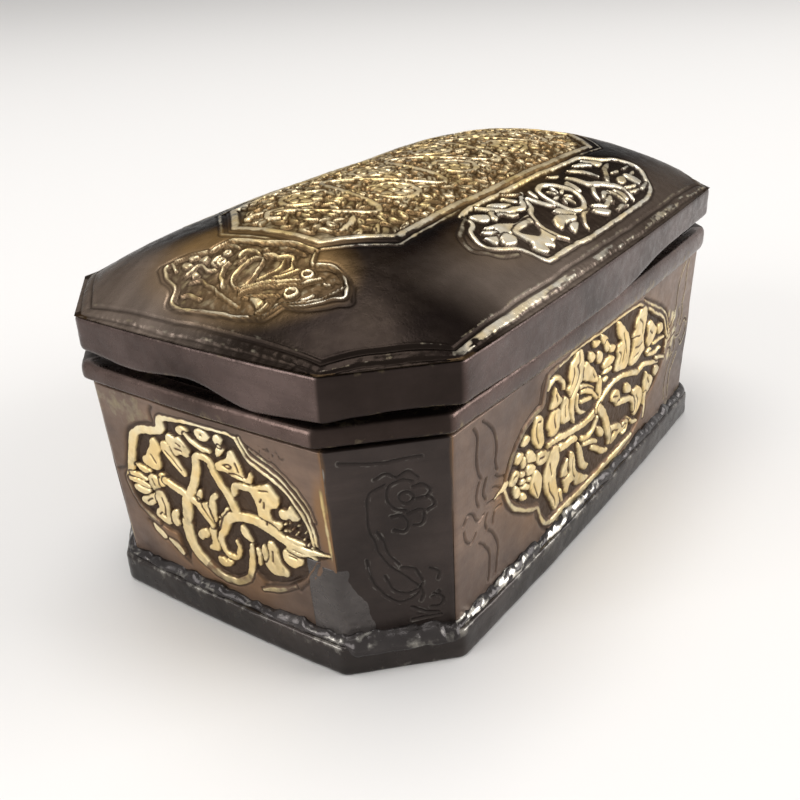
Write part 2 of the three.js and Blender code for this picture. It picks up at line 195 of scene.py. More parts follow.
def smooth(x, low=0.0, high=1.0):
    """An eased step from 0 at low to 1 at high."""
    x = np.clip((x - low) / (high - low), 0, 1)
    return x * x * (3 - 2 * x)


def patch(x, y, place, reach, fade):
    """A soft oval: 1 in its middle, and down to 0 at its reach along x and along y."""
    return smooth(1 - np.hypot((x - place[0]) / reach[0], (y - place[1]) / reach[1]), 0, fade)


def ridge(x, width):
    """A soft line: 1 where x is 0, and nearly 0 two widths away."""
    return np.exp(-((x / width) ** 2))


def noise(x, y, size, seed):
    """Smooth noise from -1 to 1 over a plane, whose lumps are about size across."""
    lattice = np.random.RandomState(seed).uniform(-1, 1, (64, 64))
    u, v = x / size + 17.3, y / size + 9.1
    i, j = np.floor(u).astype(int), np.floor(v).astype(int)
    fu, fv = smooth(u - i), smooth(v - j)
    i0, i1, j0, j1 = i % 64, (i + 1) % 64, j % 64, (j + 1) % 64
    low = lattice[i0, j0] * (1 - fu) + lattice[i1, j0] * fu
    high = lattice[i0, j1] * (1 - fu) + lattice[i1, j1] * fu
    return low * (1 - fv) + high * fv


def curved(points, closed=False):
    """A smooth line through given points, in short steps. A third number of a point is its width."""
    p = np.array(points, float)
    if closed:
        p = np.concatenate([p[-1:], p, p[:2]])
    else:
        p = np.concatenate([2 * p[:1] - p[1:2], p, 2 * p[-1:] - p[-2:-1]])
    out = []
    for k in range(1, len(p) - 2):
        a, b, c, d = p[k - 1 : k + 3]
        count = max(2, int(np.linalg.norm((c - b)[:2]) / LINE_STEP))
        t = np.arange(count)[:, None] / count
        cubic = 3 * b - a - 3 * c + d
        out.append(0.5 * (2 * b + (c - a) * t + (2 * a - 5 * b + 4 * c - d) * t**2 + cubic * t**3))
    out.append(p[-2:-1])
    return np.concatenate(out)


def with_width(points, width):
    """The points, each with the same width added."""
    p = np.array(points, float)[:, :2]
    return np.concatenate([p, np.full((len(p), 1), float(width))], 1)


def leaf(start, end, width, bend=0.0, full=0.45):
    """A pointed leaf from start to end: its bend is the bow to the left, and full is where it is widest."""
    a, b = np.array(start, float), np.array(end, float)
    along = b - a
    side = np.array([-along[1], along[0]]) * bend
    t = np.linspace(0, 1, 12)[:, None]
    middle = a + along * t + side * 4 * t * (1 - t)
    rise, fall = np.sin(t / full * math.pi / 2), np.cos((t - full) / (1 - full) * math.pi / 2)
    swell = np.where(t < full, rise, fall)
    return np.concatenate([middle, width * (0.16 + 0.84 * np.abs(swell) ** 0.8)], 1)


def edge_distance(x, y, line):
    """Distance from each point to the side of a band that follows a line, negative inside it."""
    best = np.full(x.shape, 1e9)
    for (ax, ay, aw), (bx, by, bw) in zip(line[:-1], line[1:]):
        dx, dy = bx - ax, by - ay
        t = np.clip(((x - ax) * dx + (y - ay) * dy) / (dx * dx + dy * dy + 1e-12), 0, 1)
        gap = np.hypot(x - ax - t * dx, y - ay - t * dy) - (aw + (bw - aw) * t) / 2
        np.minimum(best, gap, out=best)
    return best


def inside(x, y, loop):
    """Whether each point is inside a closed outline."""
    found = np.zeros(x.shape, bool)
    for (ax, ay), (bx, by) in zip(loop, np.roll(loop, -1, 0)):
        if ay != by:
            found ^= ((ay > y) != (by > y)) & (x < (bx - ax) * (y - ay) / (by - ay) + ax)
    return found


class Face:
    """Relief over one face in millimetres, and from 0 to 1 how worn, sunk and browned each point is."""

    def __init__(self, s, h, seed, waver=WAVER):
        self.s, self.h, self.seed = s, h, seed
        self.x = s + waver * self.noise(1.9, 0) + 0.3 * self.noise(8, 1)
        self.y = h + waver * self.noise(1.9, 2) + 0.3 * self.noise(8, 3)
        self.relief, self.worn, self.sunk_or_shaded, self.brown = np.zeros((4, *s.shape))
        self.spread, self.ragged, self.soft = SPREAD, RAGGED, EDGE_SOFT

    def noise(self, size, number):
        """The face's own noise, a different one for each number."""
        return noise(self.s, self.h, size, self.seed + number)

    def wear(self, amount):
        self.worn = np.maximum(self.worn, amount)

    def sink(self, amount):
        self.sunk_or_shaded = np.maximum(self.sunk_or_shaded, amount)

    def tint(self, amount):
        self.brown = np.maximum(self.brown, amount)

    def near(self, line, margin):
        """The places no further from a line's box than the margin."""
        low, high = line[:, :2].min(0) - margin, line[:, :2].max(0) + margin
        across = (self.x > low[0]) & (self.x < high[0])
        return np.nonzero(across & (self.y > low[1]) & (self.y < high[1]))

    def beside(self, line):
        """The places near a line with widths, and their distance from its side."""
        at = self.near(line, line[:, 2].max() / 2 + 1.5)
        return at, edge_distance(self.x[at], self.y[at], line)

    def within(self, loop):
        """The places near a closed outline, and how deep inside it they are."""
        line = curved(loop, True)
        at = self.near(line, 2)
        x, y = self.x[at], self.y[at]
        gap = edge_distance(x, y, with_width(np.concatenate([line, line[:1]]), 0))
        return at, np.where(inside(x, y, line), gap, -gap)

    def hollow(self, loop, depth=GROUND_DEPTH, rubbed_and_sheen=0.0):
        """Sinks the ground within a closed outline, and leaves it punched and rough, and worn bright or dark.
        """
        at, depth_in = self.within(loop)
        x, y = self.x[at], self.y[at]
        share = smooth(depth_in, -0.35, 0.35)
        punched = 0.10 * noise(x, y, 0.8, self.seed + 5) + 0.12 * noise(x, y, 2.1, self.seed + 6)
        self.relief[at] = self.relief[at] * (1 - share) + (punched - depth) * share
        self.sunk_or_shaded[at] = np.maximum(self.sunk_or_shaded[at], share * (1 - rubbed_and_sheen))
        self.worn[at] = self.worn[at] * (1 - share) + rubbed_and_sheen * share

    def lift(self, gap, at, top, crown, polish):
        """Raises what lies inside gap to its top, rounded, with a cut line round it."""
        x, y = self.x[at], self.y[at]
        gap = gap - self.spread + self.ragged * noise(x, y, 0.9, self.seed + 13)
        share = smooth(-gap, -self.soft, self.soft)
        level = top + crown * (1 - np.exp(np.minimum(gap, 0) / 0.4)) + 0.04 * noise(x, y, 1.4, self.seed + 7)
        cut = ridge(gap - CUT_PLACE, CUT_WIDTH)
        self.relief[at] = (self.relief[at] - CUT_DEPTH * cut) * (1 - share) + level * share
        uneven = 0.22 * noise(x, y, 3.2, self.seed + 9) + 0.1 * noise(x, y, 0.9, self.seed + 10)
        kept = self.worn[at] * (1 - share) * (1 - 0.9 * cut)
        self.worn[at] = np.maximum(kept, share * polish * (0.9 + uneven))
        self.sunk_or_shaded[at] = np.maximum(self.sunk_or_shaded[at], cut) * (1 - share)

    def stroke(self, points, top=STEM_TOP, polish=1.0, closed=False):
        """Raises a line. Each of its points has a width."""
        at, gap = self.beside(curved(points, closed))
        self.lift(gap, at, top, STEM_CROWN, polish)

    def strokes(self, lines, top=STEM_TOP, shine=1.0):
        """Raises lines as one, so no cut parts them where they meet. Each starts with how bright it is."""
        gap, polish = np.full(self.s.shape, 9.0), np.ones(self.s.shape)
        for bright, points in lines:
            at, here = self.beside(curved(points))
            polish[at] = np.where(here < gap[at], bright * shine, polish[at])
            gap[at] = np.minimum(gap[at], here)
        at = np.nonzero(gap < 1.4)
        self.lift(gap[at], at, top, STEM_CROWN, polish[at])

    def leaf(self, start, end, width, bend=0.0, full=0.45, vein=0.0, polish=1.0):
        line = leaf(start, end, width, bend, full)
        at, gap = self.beside(line)
        self.lift(gap, at, LEAF_TOP, LEAF_CROWN, polish)
        if vein:
            self.groove(line[1 : int(4 + 8 * vein), :2], 0.24, 0.35)

    def island(self, loop, polish=1.0):
        """Raises all that lies within a closed outline."""
        at, depth_in = self.within(loop)
        self.lift(-depth_in, at, STEM_TOP, SHAPE_CROWN, polish)

    def groove(self, points, width=GROOVE_WIDTH, depth=GROOVE_DEPTH, closed=False, glint=0.0):
        """Cuts a line. Its glint is how bright the burr on its two sides has worn."""
        line = curved(with_width(points, 0), closed)
        at = self.near(line, 2.5)
        gap = edge_distance(self.x[at], self.y[at], line)
        cut = ridge(gap, width)
        burr = ridge(gap - 1.9 * width, 0.7 * width)
        self.relief[at] += 0.25 * depth * burr * (glint > 0) - depth * cut
        self.sunk_or_shaded[at] = np.maximum(self.sunk_or_shaded[at], 0.9 * cut)
        self.worn[at] = np.maximum(self.worn[at] * (1 - cut), glint * burr)

    def dot(self, place, radius):
        """Drills a shallow hole."""
        gap = np.hypot(self.x - place[0], self.y - place[1])
        cut = smooth(radius + 0.25 - gap, 0, 0.5)
        self.relief -= cut * (self.relief + HOLE_DEPTH + 0.2)
        self.sink(cut)
        self.worn *= 1 - cut

    def pitted(self, place, reach):
        """Scatters small pits over a patch."""
        pits = patch(self.s, self.h, place, reach, 0.4) * smooth(self.noise(0.6, 8), 0.3, 0.7)
        self.relief -= 0.2 * pits
        self.sink(0.7 * pits)

    def ring(self, place, radius, width):
        turn = np.arange(9) / 9 * 2 * math.pi
        loop = np.stack([place[0] + radius * np.cos(turn), place[1] + radius * np.sin(turn)], 1)
        self.stroke(with_width(loop, width), closed=True)


def polar(x, y, reach, angle):
    return x + reach * math.cos(angle), y + reach * math.sin(angle)


# The ends' cartouche, as on the left end. Bands and stems start with their shine, grooves with their width

END_GROUND = [
    (-29.4, 27.3), (-27.7, 31.6), (-25.6, 36), (-23.8, 38.9), (-20.6, 40.8), (-17, 42), (-13.4, 42.4),
    (-12.2, 45), (-11.2, 47), (-8.6, 47.8), (0, 48.2), (10.2, 48.4), (12, 46.2), (14, 43.2), (16.8, 41.9),
    (20, 40.6), (23, 38.6), (25.3, 36.2), (27, 33.6), (28.4, 31), (29.2, 28.4), (29.4, 26), (33.4, 23.8),
    (30, 21.4), (28.2, 18.2), (25.6, 14.8), (23, 12.6), (20, 11), (16.4, 9.6), (13.2, 8.8), (11.2, 10.2),
    (9, 11.4), (6.6, 8.2), (3, 6), (-1, 5), (-5, 5.6), (-8.6, 7.4), (-11.2, 9), (-12.2, 7), (-13, 5),
    (-14.4, 6.4), (-15, 10), (-16, 12.6), (-19.6, 13), (-22.8, 14.6), (-26, 17), (-28.2, 20),
    (-29.6, 23.4),
]
END_BANDS = [
    (0.95, [(-29.6, 25.5, 1.6), (-28, 29.2, 2.2), (-26.8, 32.9, 2.3), (-25.6, 35.6, 2.3),
        (-24.4, 38.2, 2.3), (-22.9, 40.4, 2.3), (-20.4, 41.8, 2.1), (-15, 43, 2.1), (-13.2, 44.2, 2.5),
        (-12.9, 45.8, 2.3), (-12.2, 47.2, 1.7), (-9.8, 47.9, 1.2), (-3, 48.6, 0.7), (3, 48.8, 0.6),
        (8, 48.9, 0.6), (11.5, 48.3, 0.6)]),
    (0.4, [(-30.3, 25.6, 1), (-30, 22, 0.9), (-28.2, 18.4, 0.8), (-25, 15.6, 0.9), (-22.2, 14, 0.9)]),
    (0.85, [(11.4, 48.2, 0.7), (12.7, 46.1, 0.7), (14.5, 43.5, 0.7), (16.8, 42.3, 0.7), (20, 41.1, 0.7),
        (23.2, 39.1, 0.7), (25.7, 36.7, 0.7), (27.5, 34, 0.7), (28.9, 31.4, 0.7), (29.7, 28.6, 0.7),
        (29.9, 25.6, 0.7)]),
    (0.75, [(12.6, 48.7, 0.4), (14.2, 46, 0.5), (16.4, 44.1, 0.5), (20, 42.8, 0.5), (23.7, 40.9, 0.5),
        (26.5, 38.3, 0.5), (28.6, 35.4, 0.5), (30, 32.2, 0.5), (30.7, 29, 0.5), (30.8, 26, 0.4)]),
    (0.5, [(15.4, 46.6, 0.4), (19, 45, 0.4), (23.2, 43.2, 0.4), (27, 40.2, 0.4), (29.8, 36.6, 0.4),
        (31.2, 32.6, 0.4)]),
    (0.6, [(12, 6.4, 0.6), (14, 7.4, 1), (17, 8.3, 1.1), (20, 9.5, 0.9), (22.6, 11.3, 0.6)]),
]
END_GROOVES = [
    (0.6, [(-33.4, 27), (-30, 29), (-28.2, 32.9), (-27.3, 35.6), (-26.5, 38.4), (-24.8, 41.2),
        (-22, 43.1), (-18.2, 44.3), (-15.7, 45.1), (-15.7, 47.9), (-14.8, 49.6)]),
    (0.35, [(11.8, 48.6), (13.4, 46.1), (15.4, 43.8), (20, 42), (23.5, 40), (26.1, 37.5), (28, 34.7),
        (29.4, 31.8), (30.2, 28.8)]),
    (0.35, [(14.2, 47.4), (16.6, 45.1), (20, 43.9), (24, 41.9), (27, 39), (29.2, 36), (30.7, 32.4),
        (31.4, 28.6)]),
    (0.5, [(12.8, 8.3), (15, 8.9), (18, 9.9), (21, 11.4), (23.8, 13.8)]),
    (0.5, [(23.8, 10.6), (26.6, 14), (29.2, 18), (30.6, 21.2)]),
    (0.7, [(-13.2, 4.6), (-14.4, 5.2), (-16.4, 6.6), (-18.6, 8.4), (-22, 10.6), (-26, 13.6)]),
]
END_STEMS = [
    # the trellis, its branch and its cap
    (1, [(-3, 38.5, 2.2), (-3.8, 35.1, 2.2), (-4.8, 32.3, 2.2), (-6.2, 29.5, 2.2), (-7.6, 27.3, 2.1)]),
    (1, [(1.8, 38.4, 1.9), (3.5, 35.1, 2), (5.2, 32.3, 2.1), (6.8, 29.5, 2.3), (7.4, 27.9, 2.4)]),
    (1, [(-3.2, 39.2, 1.7), (-2.2, 40.2, 1.8), (0, 40.3, 1.8), (1.6, 39.8, 1.8), (2.2, 38.8, 1.6)]),
    (1, [(-15.4, 29, 1.8), (-12.6, 27.9, 2), (-8.7, 26.8, 2.1), (-5.4, 25.6, 2), (-4.8, 24.5, 1.8),
        (-3.2, 22.3, 1.6), (-1.5, 20.4, 1.1)]),
    # the large loop
    (1, [(-9.3, 25, 2.8), (-9.9, 22, 3), (-10.8, 18.6, 3.1), (-11, 15, 3.3), (-10.6, 12, 3.2),
        (-9, 9, 2.9), (-6.6, 7, 2.5)]),
    (0.6, [(-6.6, 7, 2.5), (-3, 5.2, 2.1), (0, 4.8, 1.9), (3.5, 5.5, 1.8), (6.6, 7.6, 1.8),
        (8.2, 9.6, 1.8)]),
    (0.95, [(8.2, 9.6, 1.8), (9.4, 13, 1.7), (9.9, 16, 1.5), (10.4, 18.8, 1.1)]),
    # the hook, and its run out to the tip
    (1, [(5.8, 18.6, 0.7), (6.2, 16.8, 1.1), (5.4, 14.6, 1.4), (3.5, 12.9, 1.7), (1.4, 13.4, 1.5),
        (0.5, 15.6, 1.5), (0.8, 18.4, 1.7), (2.4, 20.6, 1.9), (4, 23.4, 2.1), (5.8, 25.4, 2.4),
        (8.5, 26.4, 2.5), (11.8, 27, 2.5), (15.2, 26.6, 2.8), (18, 25.8, 2.7), (20.4, 24.4, 2.3),
        (23.5, 23.4, 1.9)]),
    (0.85, [(23.5, 23.4, 1.9), (27.4, 23.2, 1.7), (30.7, 23.6, 1.1), (33.6, 24, 0.5)]),
    (0.8, [(22, 22.4, 1.1), (25, 21.6, 0.9), (28, 22.2, 0.6), (30, 21.8, 0.3)]),
    (0.8, [(22, 25.2, 0.8), (24.6, 24.9, 1.1), (27.4, 25.1, 0.7), (29.4, 24.6, 0.4)]),
    (1, [(-4.4, 45, 1), (-2.6, 43.6, 1.1), (0, 42.6, 1.1), (2.2, 42.5, 0.9)]),
]
END_SHAPES = [
    # the branch and the star beyond the crossing
    [(-19.5, 27.2), (-17, 26.8), (-15.4, 28), (-14.8, 29.8), (-16.5, 31), (-17.4, 30), (-17, 29),
     (-19.5, 28.8)],
    [(-5.8, 25.9), (-3.8, 26), (-1.7, 27), (-1.3, 24.6), (-0.3, 21.4), (-2, 22.9), (-4, 24.8)],
    [(-0.9, 27), (0, 29.4), (1.4, 30.6), (2, 29.6), (1, 28.4), (0.5, 25), (0.2, 22), (-0.7, 24.5)],
    [(1.1, 22.2), (2.5, 25), (4.2, 27.2), (5.2, 27.6), (5, 25.8), (3.6, 23.2), (1.9, 21), (0.8, 20.6)],
    [(-5.2, 28), (-4.4, 29.4), (-3.2, 30), (-3.6, 28.4), (-4.2, 27)],
    # inside the loop and the hook
    [(-7.4, 16.2), (-6, 17.4), (-4.4, 18.2), (-3.6, 17), (-4.6, 15.4), (-5.6, 15.2), (-6.4, 14.4),
     (-7.6, 15)],
    [(-2.6, 19.4), (-1.3, 19.6), (-1, 16.4), (-1, 13.2), (-2.4, 12.6), (-4.4, 12.4), (-4, 13.4),
     (-2.9, 14), (-2.6, 16.8)],
    [(-2.2, 10.4), (-0.6, 11.2), (0.6, 10.6), (1.2, 11.6), (2.8, 11.2), (2, 10.2), (0.6, 9.2), (-1, 8.6),
     (-2.2, 9.2)],
    [(8, 22.4), (8.4, 23.8), (9.4, 23.6), (10.4, 22), (10.8, 20.8), (10.8, 20), (9.6, 20.6), (8.4, 21.4)],
    # under the rim
    [(-7.4, 46), (-5.8, 46.8), (-4.1, 46.6), (-3.8, 45.6), (-5.4, 44.8), (-7, 44.9)],
    [(-1, 46.6), (0, 47.4), (2, 47.4), (3, 46.4), (2, 45.2), (0.8, 45), (-0.4, 45.4)],
    [(4.6, 46.6), (5.6, 47.6), (6.8, 46.6), (6.4, 45.6), (7, 44.2), (6, 43.2), (4.8, 42.2), (4.6, 43.4),
     (5.4, 44.8)],
    # the leaf over the trellis
    [(3.4, 39.4), (4.4, 40.4), (6, 41.4), (7.6, 42.4), (8.6, 44), (9.6, 44.4), (10.4, 43.4), (10.8, 41.8),
     (11.4, 40.4), (12, 38.6), (12.6, 38.2), (13.4, 39), (14, 40.4), (14.4, 39.4), (14, 38), (13.4, 37.4),
     (11.4, 37.7), (9.4, 37.7), (8.2, 37.9), (6.4, 38.8), (5, 38.6), (3.8, 38.4)],
    # the mass on the right
    [(10.2, 36.4), (8.2, 35.6), (7.4, 33.4), (7.6, 31.8), (8.6, 32.8), (9.4, 34.6), (11.4, 35),
     (13, 35.2), (14, 33.8), (14.6, 31.5), (14.8, 28.6), (14.9, 26.6), (17, 25.6), (19.6, 26.2),
     (20.8, 27.6), (20.6, 28.4), (19, 28.4), (18, 29.4), (17.8, 30.8), (18.6, 32), (20, 32.4), (20.8, 34),
     (21, 36), (20, 37.8), (18.6, 38.6), (17, 37.8), (15, 37), (12.6, 36.6)],
    [(20.8, 31.6), (21.8, 32.4), (22.8, 32.4), (23.8, 33), (24.6, 34.4), (25.4, 33.6), (25.6, 32.6),
     (26.4, 32), (26.3, 31), (25.2, 30.6), (23.4, 30.2), (21.8, 30), (21, 30.6)],
    # the hanging leaves
    [(16.2, 22), (17.4, 22.2), (18.2, 21), (18.4, 19), (19, 17.2), (20, 16), (21, 14.8), (20.6, 13.4),
     (18.8, 13.2), (17, 12.6), (15.4, 13), (14.2, 14.4), (14.4, 16), (15.4, 17.4), (16, 19),
     (15.8, 20.6)],
    [(14.2, 20.4), (15, 18.8), (14.7, 17), (13.8, 15.8), (13.5, 17.4)],
    [(11.8, 18.6), (12.7, 18.4), (12.9, 16), (12.5, 13.6), (11.7, 13.8), (12, 16)],
    [(20.6, 21.2), (22, 21.6), (23.4, 22), (24.8, 21.2), (25.8, 20), (25.4, 18.8), (24.2, 18), (23, 17),
     (21.6, 17.4), (20.4, 18.6), (20.3, 20)],
    # the small palmette and the leaves about the branch
    [(-11.6, 42.6), (-10.4, 43.2), (-8.8, 42.6), (-7.4, 43.2), (-5.4, 42), (-4.4, 40.6), (-4.6, 39.4),
     (-6, 38.7), (-7.8, 38.6), (-9.2, 37.8), (-10.4, 38.8), (-11.6, 40.6)],
    [(-14, 40), (-12.6, 40.5), (-11.6, 39.4), (-10.6, 37.6), (-9.6, 36.6), (-8.6, 35), (-7.4, 33),
     (-7.8, 32.4), (-9.6, 33.4), (-11.4, 35), (-13.2, 36.6), (-14.3, 37.8), (-14.4, 39)],
    [(-21, 34.4), (-20, 36.2), (-18.8, 37.6), (-18.4, 39.4), (-17.2, 40.2), (-15.8, 38.9), (-15.4, 37.2),
     (-16.6, 35.8), (-16.2, 33.6), (-16.6, 32.2), (-18.6, 31.6), (-20.4, 32), (-22.4, 32.6), (-22.2, 34)],
    [(-25.8, 30.8), (-23.6, 31), (-21.6, 30.6), (-20.2, 30.5), (-20.4, 29.7), (-23, 29.4), (-25, 29.9)],
    [(-21.8, 28.2), (-20, 29.3), (-18.6, 29), (-18.5, 26.8), (-18.1, 25.2), (-19.2, 23.8), (-20.8, 24.6),
     (-22, 26.4)],
    [(-28.8, 27.6), (-26.6, 28), (-24, 27.8), (-22.6, 27.3), (-23, 26.8), (-25.4, 26.7), (-28, 26.4)],
    [(-29.4, 25.8), (-27.4, 25.9), (-25, 25.7), (-22.8, 25.6), (-22, 24.9), (-23, 24.2), (-25.6, 24.4),
     (-28, 24.6), (-29.2, 25)],
    [(-28.6, 23.5), (-26.6, 23.7), (-24.4, 23.5), (-22.4, 23.3), (-23.2, 22.3), (-25.4, 22),
     (-27.4, 22.1)],
    [(-26.4, 20.4), (-24.6, 21), (-22.6, 22), (-21, 23.1), (-20.6, 22.2), (-21.6, 20.4), (-23.2, 19),
     (-25, 18.7), (-26.4, 19.3)],
    [(-19.8, 24.4), (-18, 25), (-17.2, 23.4), (-17, 20.6), (-16.9, 17.8), (-17, 15.8), (-18.6, 14.8),
     (-20.6, 15.4), (-22, 16.4), (-21.6, 18.2), (-20.4, 19.4), (-20.4, 22)],
    # what has been scraped bright below the outline
    [(-24.6, 13), (-22, 11.6), (-20.4, 10.2), (-21.6, 9.6), (-23.8, 11)],
    [(-19.6, 10.2), (-16.6, 9.8), (-15, 8), (-15.2, 6.6), (-16.4, 7.4), (-18, 8.6)],
    [(-15.8, 19.2), (-14.8, 20.4), (-13.8, 20.6), (-13.6, 19.4), (-14.3, 18), (-14, 16.6), (-15, 15.6),
     (-16.2, 16), (-16.2, 17.6)],
]
END_VEINS = [
    [(-13.2, 37.8), (-11, 36), (-8.7, 33.7)], [(-18.3, 23), (-18.2, 20), (-18.8, 17)],
    [(-19.8, 18.2), (-20.9, 17)], [(-24.6, 19.8), (-22.2, 21.4)],
    [(6, 40.3), (7.4, 40.9), (8.6, 40.4), (7.6, 39.8), (6, 40.3)],
    [(7.6, 38.4), (10, 38.8), (11.6, 38.5)], [(10, 41.6), (10.6, 39.8)], [(15.6, 33), (16.2, 34)],
    [(16.5, 31.4), (16.9, 33.2)], [(16.6, 27), (16.7, 28)], [(17, 19.6), (16.6, 16.4)],
    [(-8.4, 41.4), (-7.2, 41)], [(-9, 39.6), (-7, 39.7)], [(22, 20.2), (24, 20)],
    [(-19, 35.4), (-17.6, 33.6)], [(-20.4, 28), (-20, 26.2)], [(-12.6, 22.6), (-11.9, 19)],
    [(16, 36.2), (18.6, 36.6)],
]
END_SPECKS = [
    (22, 28.6), (23.6, 29.2), (25.8, 28), (22.7, 27.2), (24.9, 26.9), (27.2, 26.3), (21.4, 26.9),
    (26, 29.6), (28.4, 25.2), (27.8, 28.2), (5.9, 45), (1.3, 24), (-4.6, 26.8), (24.2, 27.9),
]
END_DOTS = [((-19.3, 17.4), 0.5), ((4.1, 14.6), 0.7), ((19.7, 30), 1.1), ((0.7, 46.2), 0.3)]
END_PITS = ((20.5, 46.6), (6, 2.8))
END_SPREAD = 0.24
END_GLOW = ((0, 24), (40, 30))
END_SMEAR = ((34, 2), (24, 18))
# Where a faint painted highlight lies high on the end
END_PAINTED_HIGHLIGHT = ((-26, 47), (15, 7))
SEAM_PLACE = 34.9
SEAM_MIDDLE = 32


def carve_end(face):
    face.hollow(END_GROUND)
    for width, line in END_GROOVES:
        face.groove(line, width)
    face.strokes(END_BANDS, BAND_TOP)
    face.spread = END_SPREAD
    for loop in END_SHAPES:
        face.island(loop)
    face.spread = SPREAD
    face.strokes(END_STEMS)
    for k, (x, y) in enumerate(END_SPECKS):
        tip = polar(x, y, 0.5 + 0.3 * math.sin(2.3 * k), 0.5 + 0.9 * math.sin(1.7 * k))
        face.stroke([(x, y, 0.3 + 0.2 * math.sin(3.1 * k)), (*tip, 0.2)], polish=0.8)
    for place, radius in END_DOTS:
        face.dot(place, radius)
    for line in END_VEINS:
        face.groove(line, VEIN_WIDTH)
    face.pitted(*END_PITS)
    face.tint(patch(face.s, face.h, *END_GLOW, 0.5))
    dull_end(face)


def dull_end(face):
    """The grey smear low beside the near corner, a faint painted highlight high at the far side laid in as
    wear, and the bright seam.
    """
    smear = patch(face.s, face.h, *END_SMEAR, 0.5)
    face.sink(0.5 * smear)
    face.worn *= 1 - 0.5 * smear
    face.brown *= 1 - smear
    # Painted highlight: a faint patch of worn brass high at the far side.
    face.wear(0.3 * patch(face.s, face.h, *END_PAINTED_HIGHLIGHT, 0.6) * (face.sunk_or_shaded < 0.2))
    turn = face.s - SEAM_PLACE + 0.02 * face.h
    face.wear(0.62 * smooth(abs(face.h - SEAM_MIDDLE), 13, 7) * ridge(turn, 0.5))
    face.tint(patch(turn, face.h, (0, SEAM_MIDDLE), (4, 16), 0.6))


# The sides' cartouche, as on the front. Bands start with their shine

SIDE_GROUND = [
    (-52.2, 28), (-51.2, 31.2), (-49.4, 34), (-46.8, 36.6), (-43, 38.6), (-39, 39.9), (-35.2, 40.6),
    (-34.2, 43), (-33.4, 46), (-31.6, 47.8), (-28, 48.5), (-10, 48.6), (10, 48.4), (23, 47.8), (27, 46.4),
    (33.4, 43.4), (36.4, 41.4), (40, 39.2), (44, 37.2), (47.4, 34.8), (49.8, 31.6), (52, 28), (50.8, 23),
    (48.2, 18), (43.6, 14), (38.4, 12), (35.4, 9.6), (33, 6.4), (30, 4.8), (26, 4.4), (0, 4.4),
    (-24, 4.4), (-27.6, 4.3), (-30, 5.6), (-32, 8), (-33.4, 10.6), (-34.6, 12.9), (-38.2, 13.9),
    (-41.8, 15.6), (-45.6, 18.2), (-48.4, 20.8), (-50.6, 23.2), (-51.8, 25.6),
]
SIDE_BANDS = [
    (0.35, [(-52.9, 28.4, 1), (-52.2, 30.5, 1.5), (-50.5, 33.5, 1.6), (-48, 36.3, 1.6),
        (-44.5, 38.9, 1.6), (-41, 40.3, 1.6), (-37.5, 41, 1.6), (-35.6, 41.5, 1.5), (-34.9, 44, 1.5),
        (-33.9, 47, 1.5), (-32.4, 48.6, 1.4), (-28, 49.2, 1)]),
    (0.75, [(-28, 49.2, 0.8), (-10, 49.2, 0.8), (10, 49, 0.8), (23, 48.4, 0.8), (27.4, 47, 0.9)]),
    (0.7, [(-53.2, 26.8, 1), (-53, 25.5, 1.1), (-51.5, 22.5, 1.1), (-49.5, 19.8, 1.1), (-46.5, 17.2, 1.1),
        (-42.5, 14.6, 1.1), (-38.5, 12.9, 1.1), (-35.6, 12, 1.1), (-34.4, 9.6, 1.1), (-33.2, 7, 1.1),
        (-31, 4.6, 1.2), (-28.5, 3.4, 1.4)]),
    (0.9, [(-28, 3.3, 1.4), (-24, 3.2, 2), (-17, 3, 2.4), (-10, 2.9, 2.4), (0, 3, 2.2), (10, 3.1, 2),
        (20, 3.4, 1.8), (28, 4, 1.2)]),
    (0.8, [(27.4, 47, 0.8), (33.4, 44, 0.9), (36.4, 42.2, 0.9), (39.4, 40.4, 0.9), (43.4, 38.5, 0.9),
        (47.3, 36, 0.9), (50, 33, 0.9), (51.6, 30.2, 0.9), (53.4, 28, 0.9)]),
    (0.7, [(28.4, 48.2, 0.6), (34.6, 45, 0.7), (40.4, 42, 0.7), (44.4, 40, 0.7), (48.8, 37.2, 0.7),
        (51.6, 34, 0.7), (53.4, 30.8, 0.6)]),
    (1, [(-53, 27.6, 2.4), (-55, 26.8, 1.2), (-57.4, 26.2, 0.6)]),
]
SIDE_EDGES = [
    [(-53.6, 29.4), (-53, 31.2), (-51.8, 33.5), (-50, 35.8), (-46.8, 38.9), (-43.5, 40.8), (-40, 42),
     (-37.3, 42.6), (-36.7, 44.8), (-36, 47.2), (-34.6, 49.2)],
    [(-54.2, 24.8), (-52.8, 22), (-51, 19.6), (-48.4, 17.2), (-44.8, 14.6), (-41.3, 12.6), (-38.6, 11.6),
     (-36.8, 11), (-36, 9.4), (-35, 7.6), (-33.6, 5.4), (-32, 3.6), (-29.6, 1.8)],
    [(28, 48.8), (35, 46), (41, 43), (46, 40.2), (50.4, 37), (53, 33.2)],
    [(30, 6.4), (33.6, 8.6), (36.4, 11.2), (41, 12.8), (45, 15), (49, 18.6), (51.6, 23)],
]
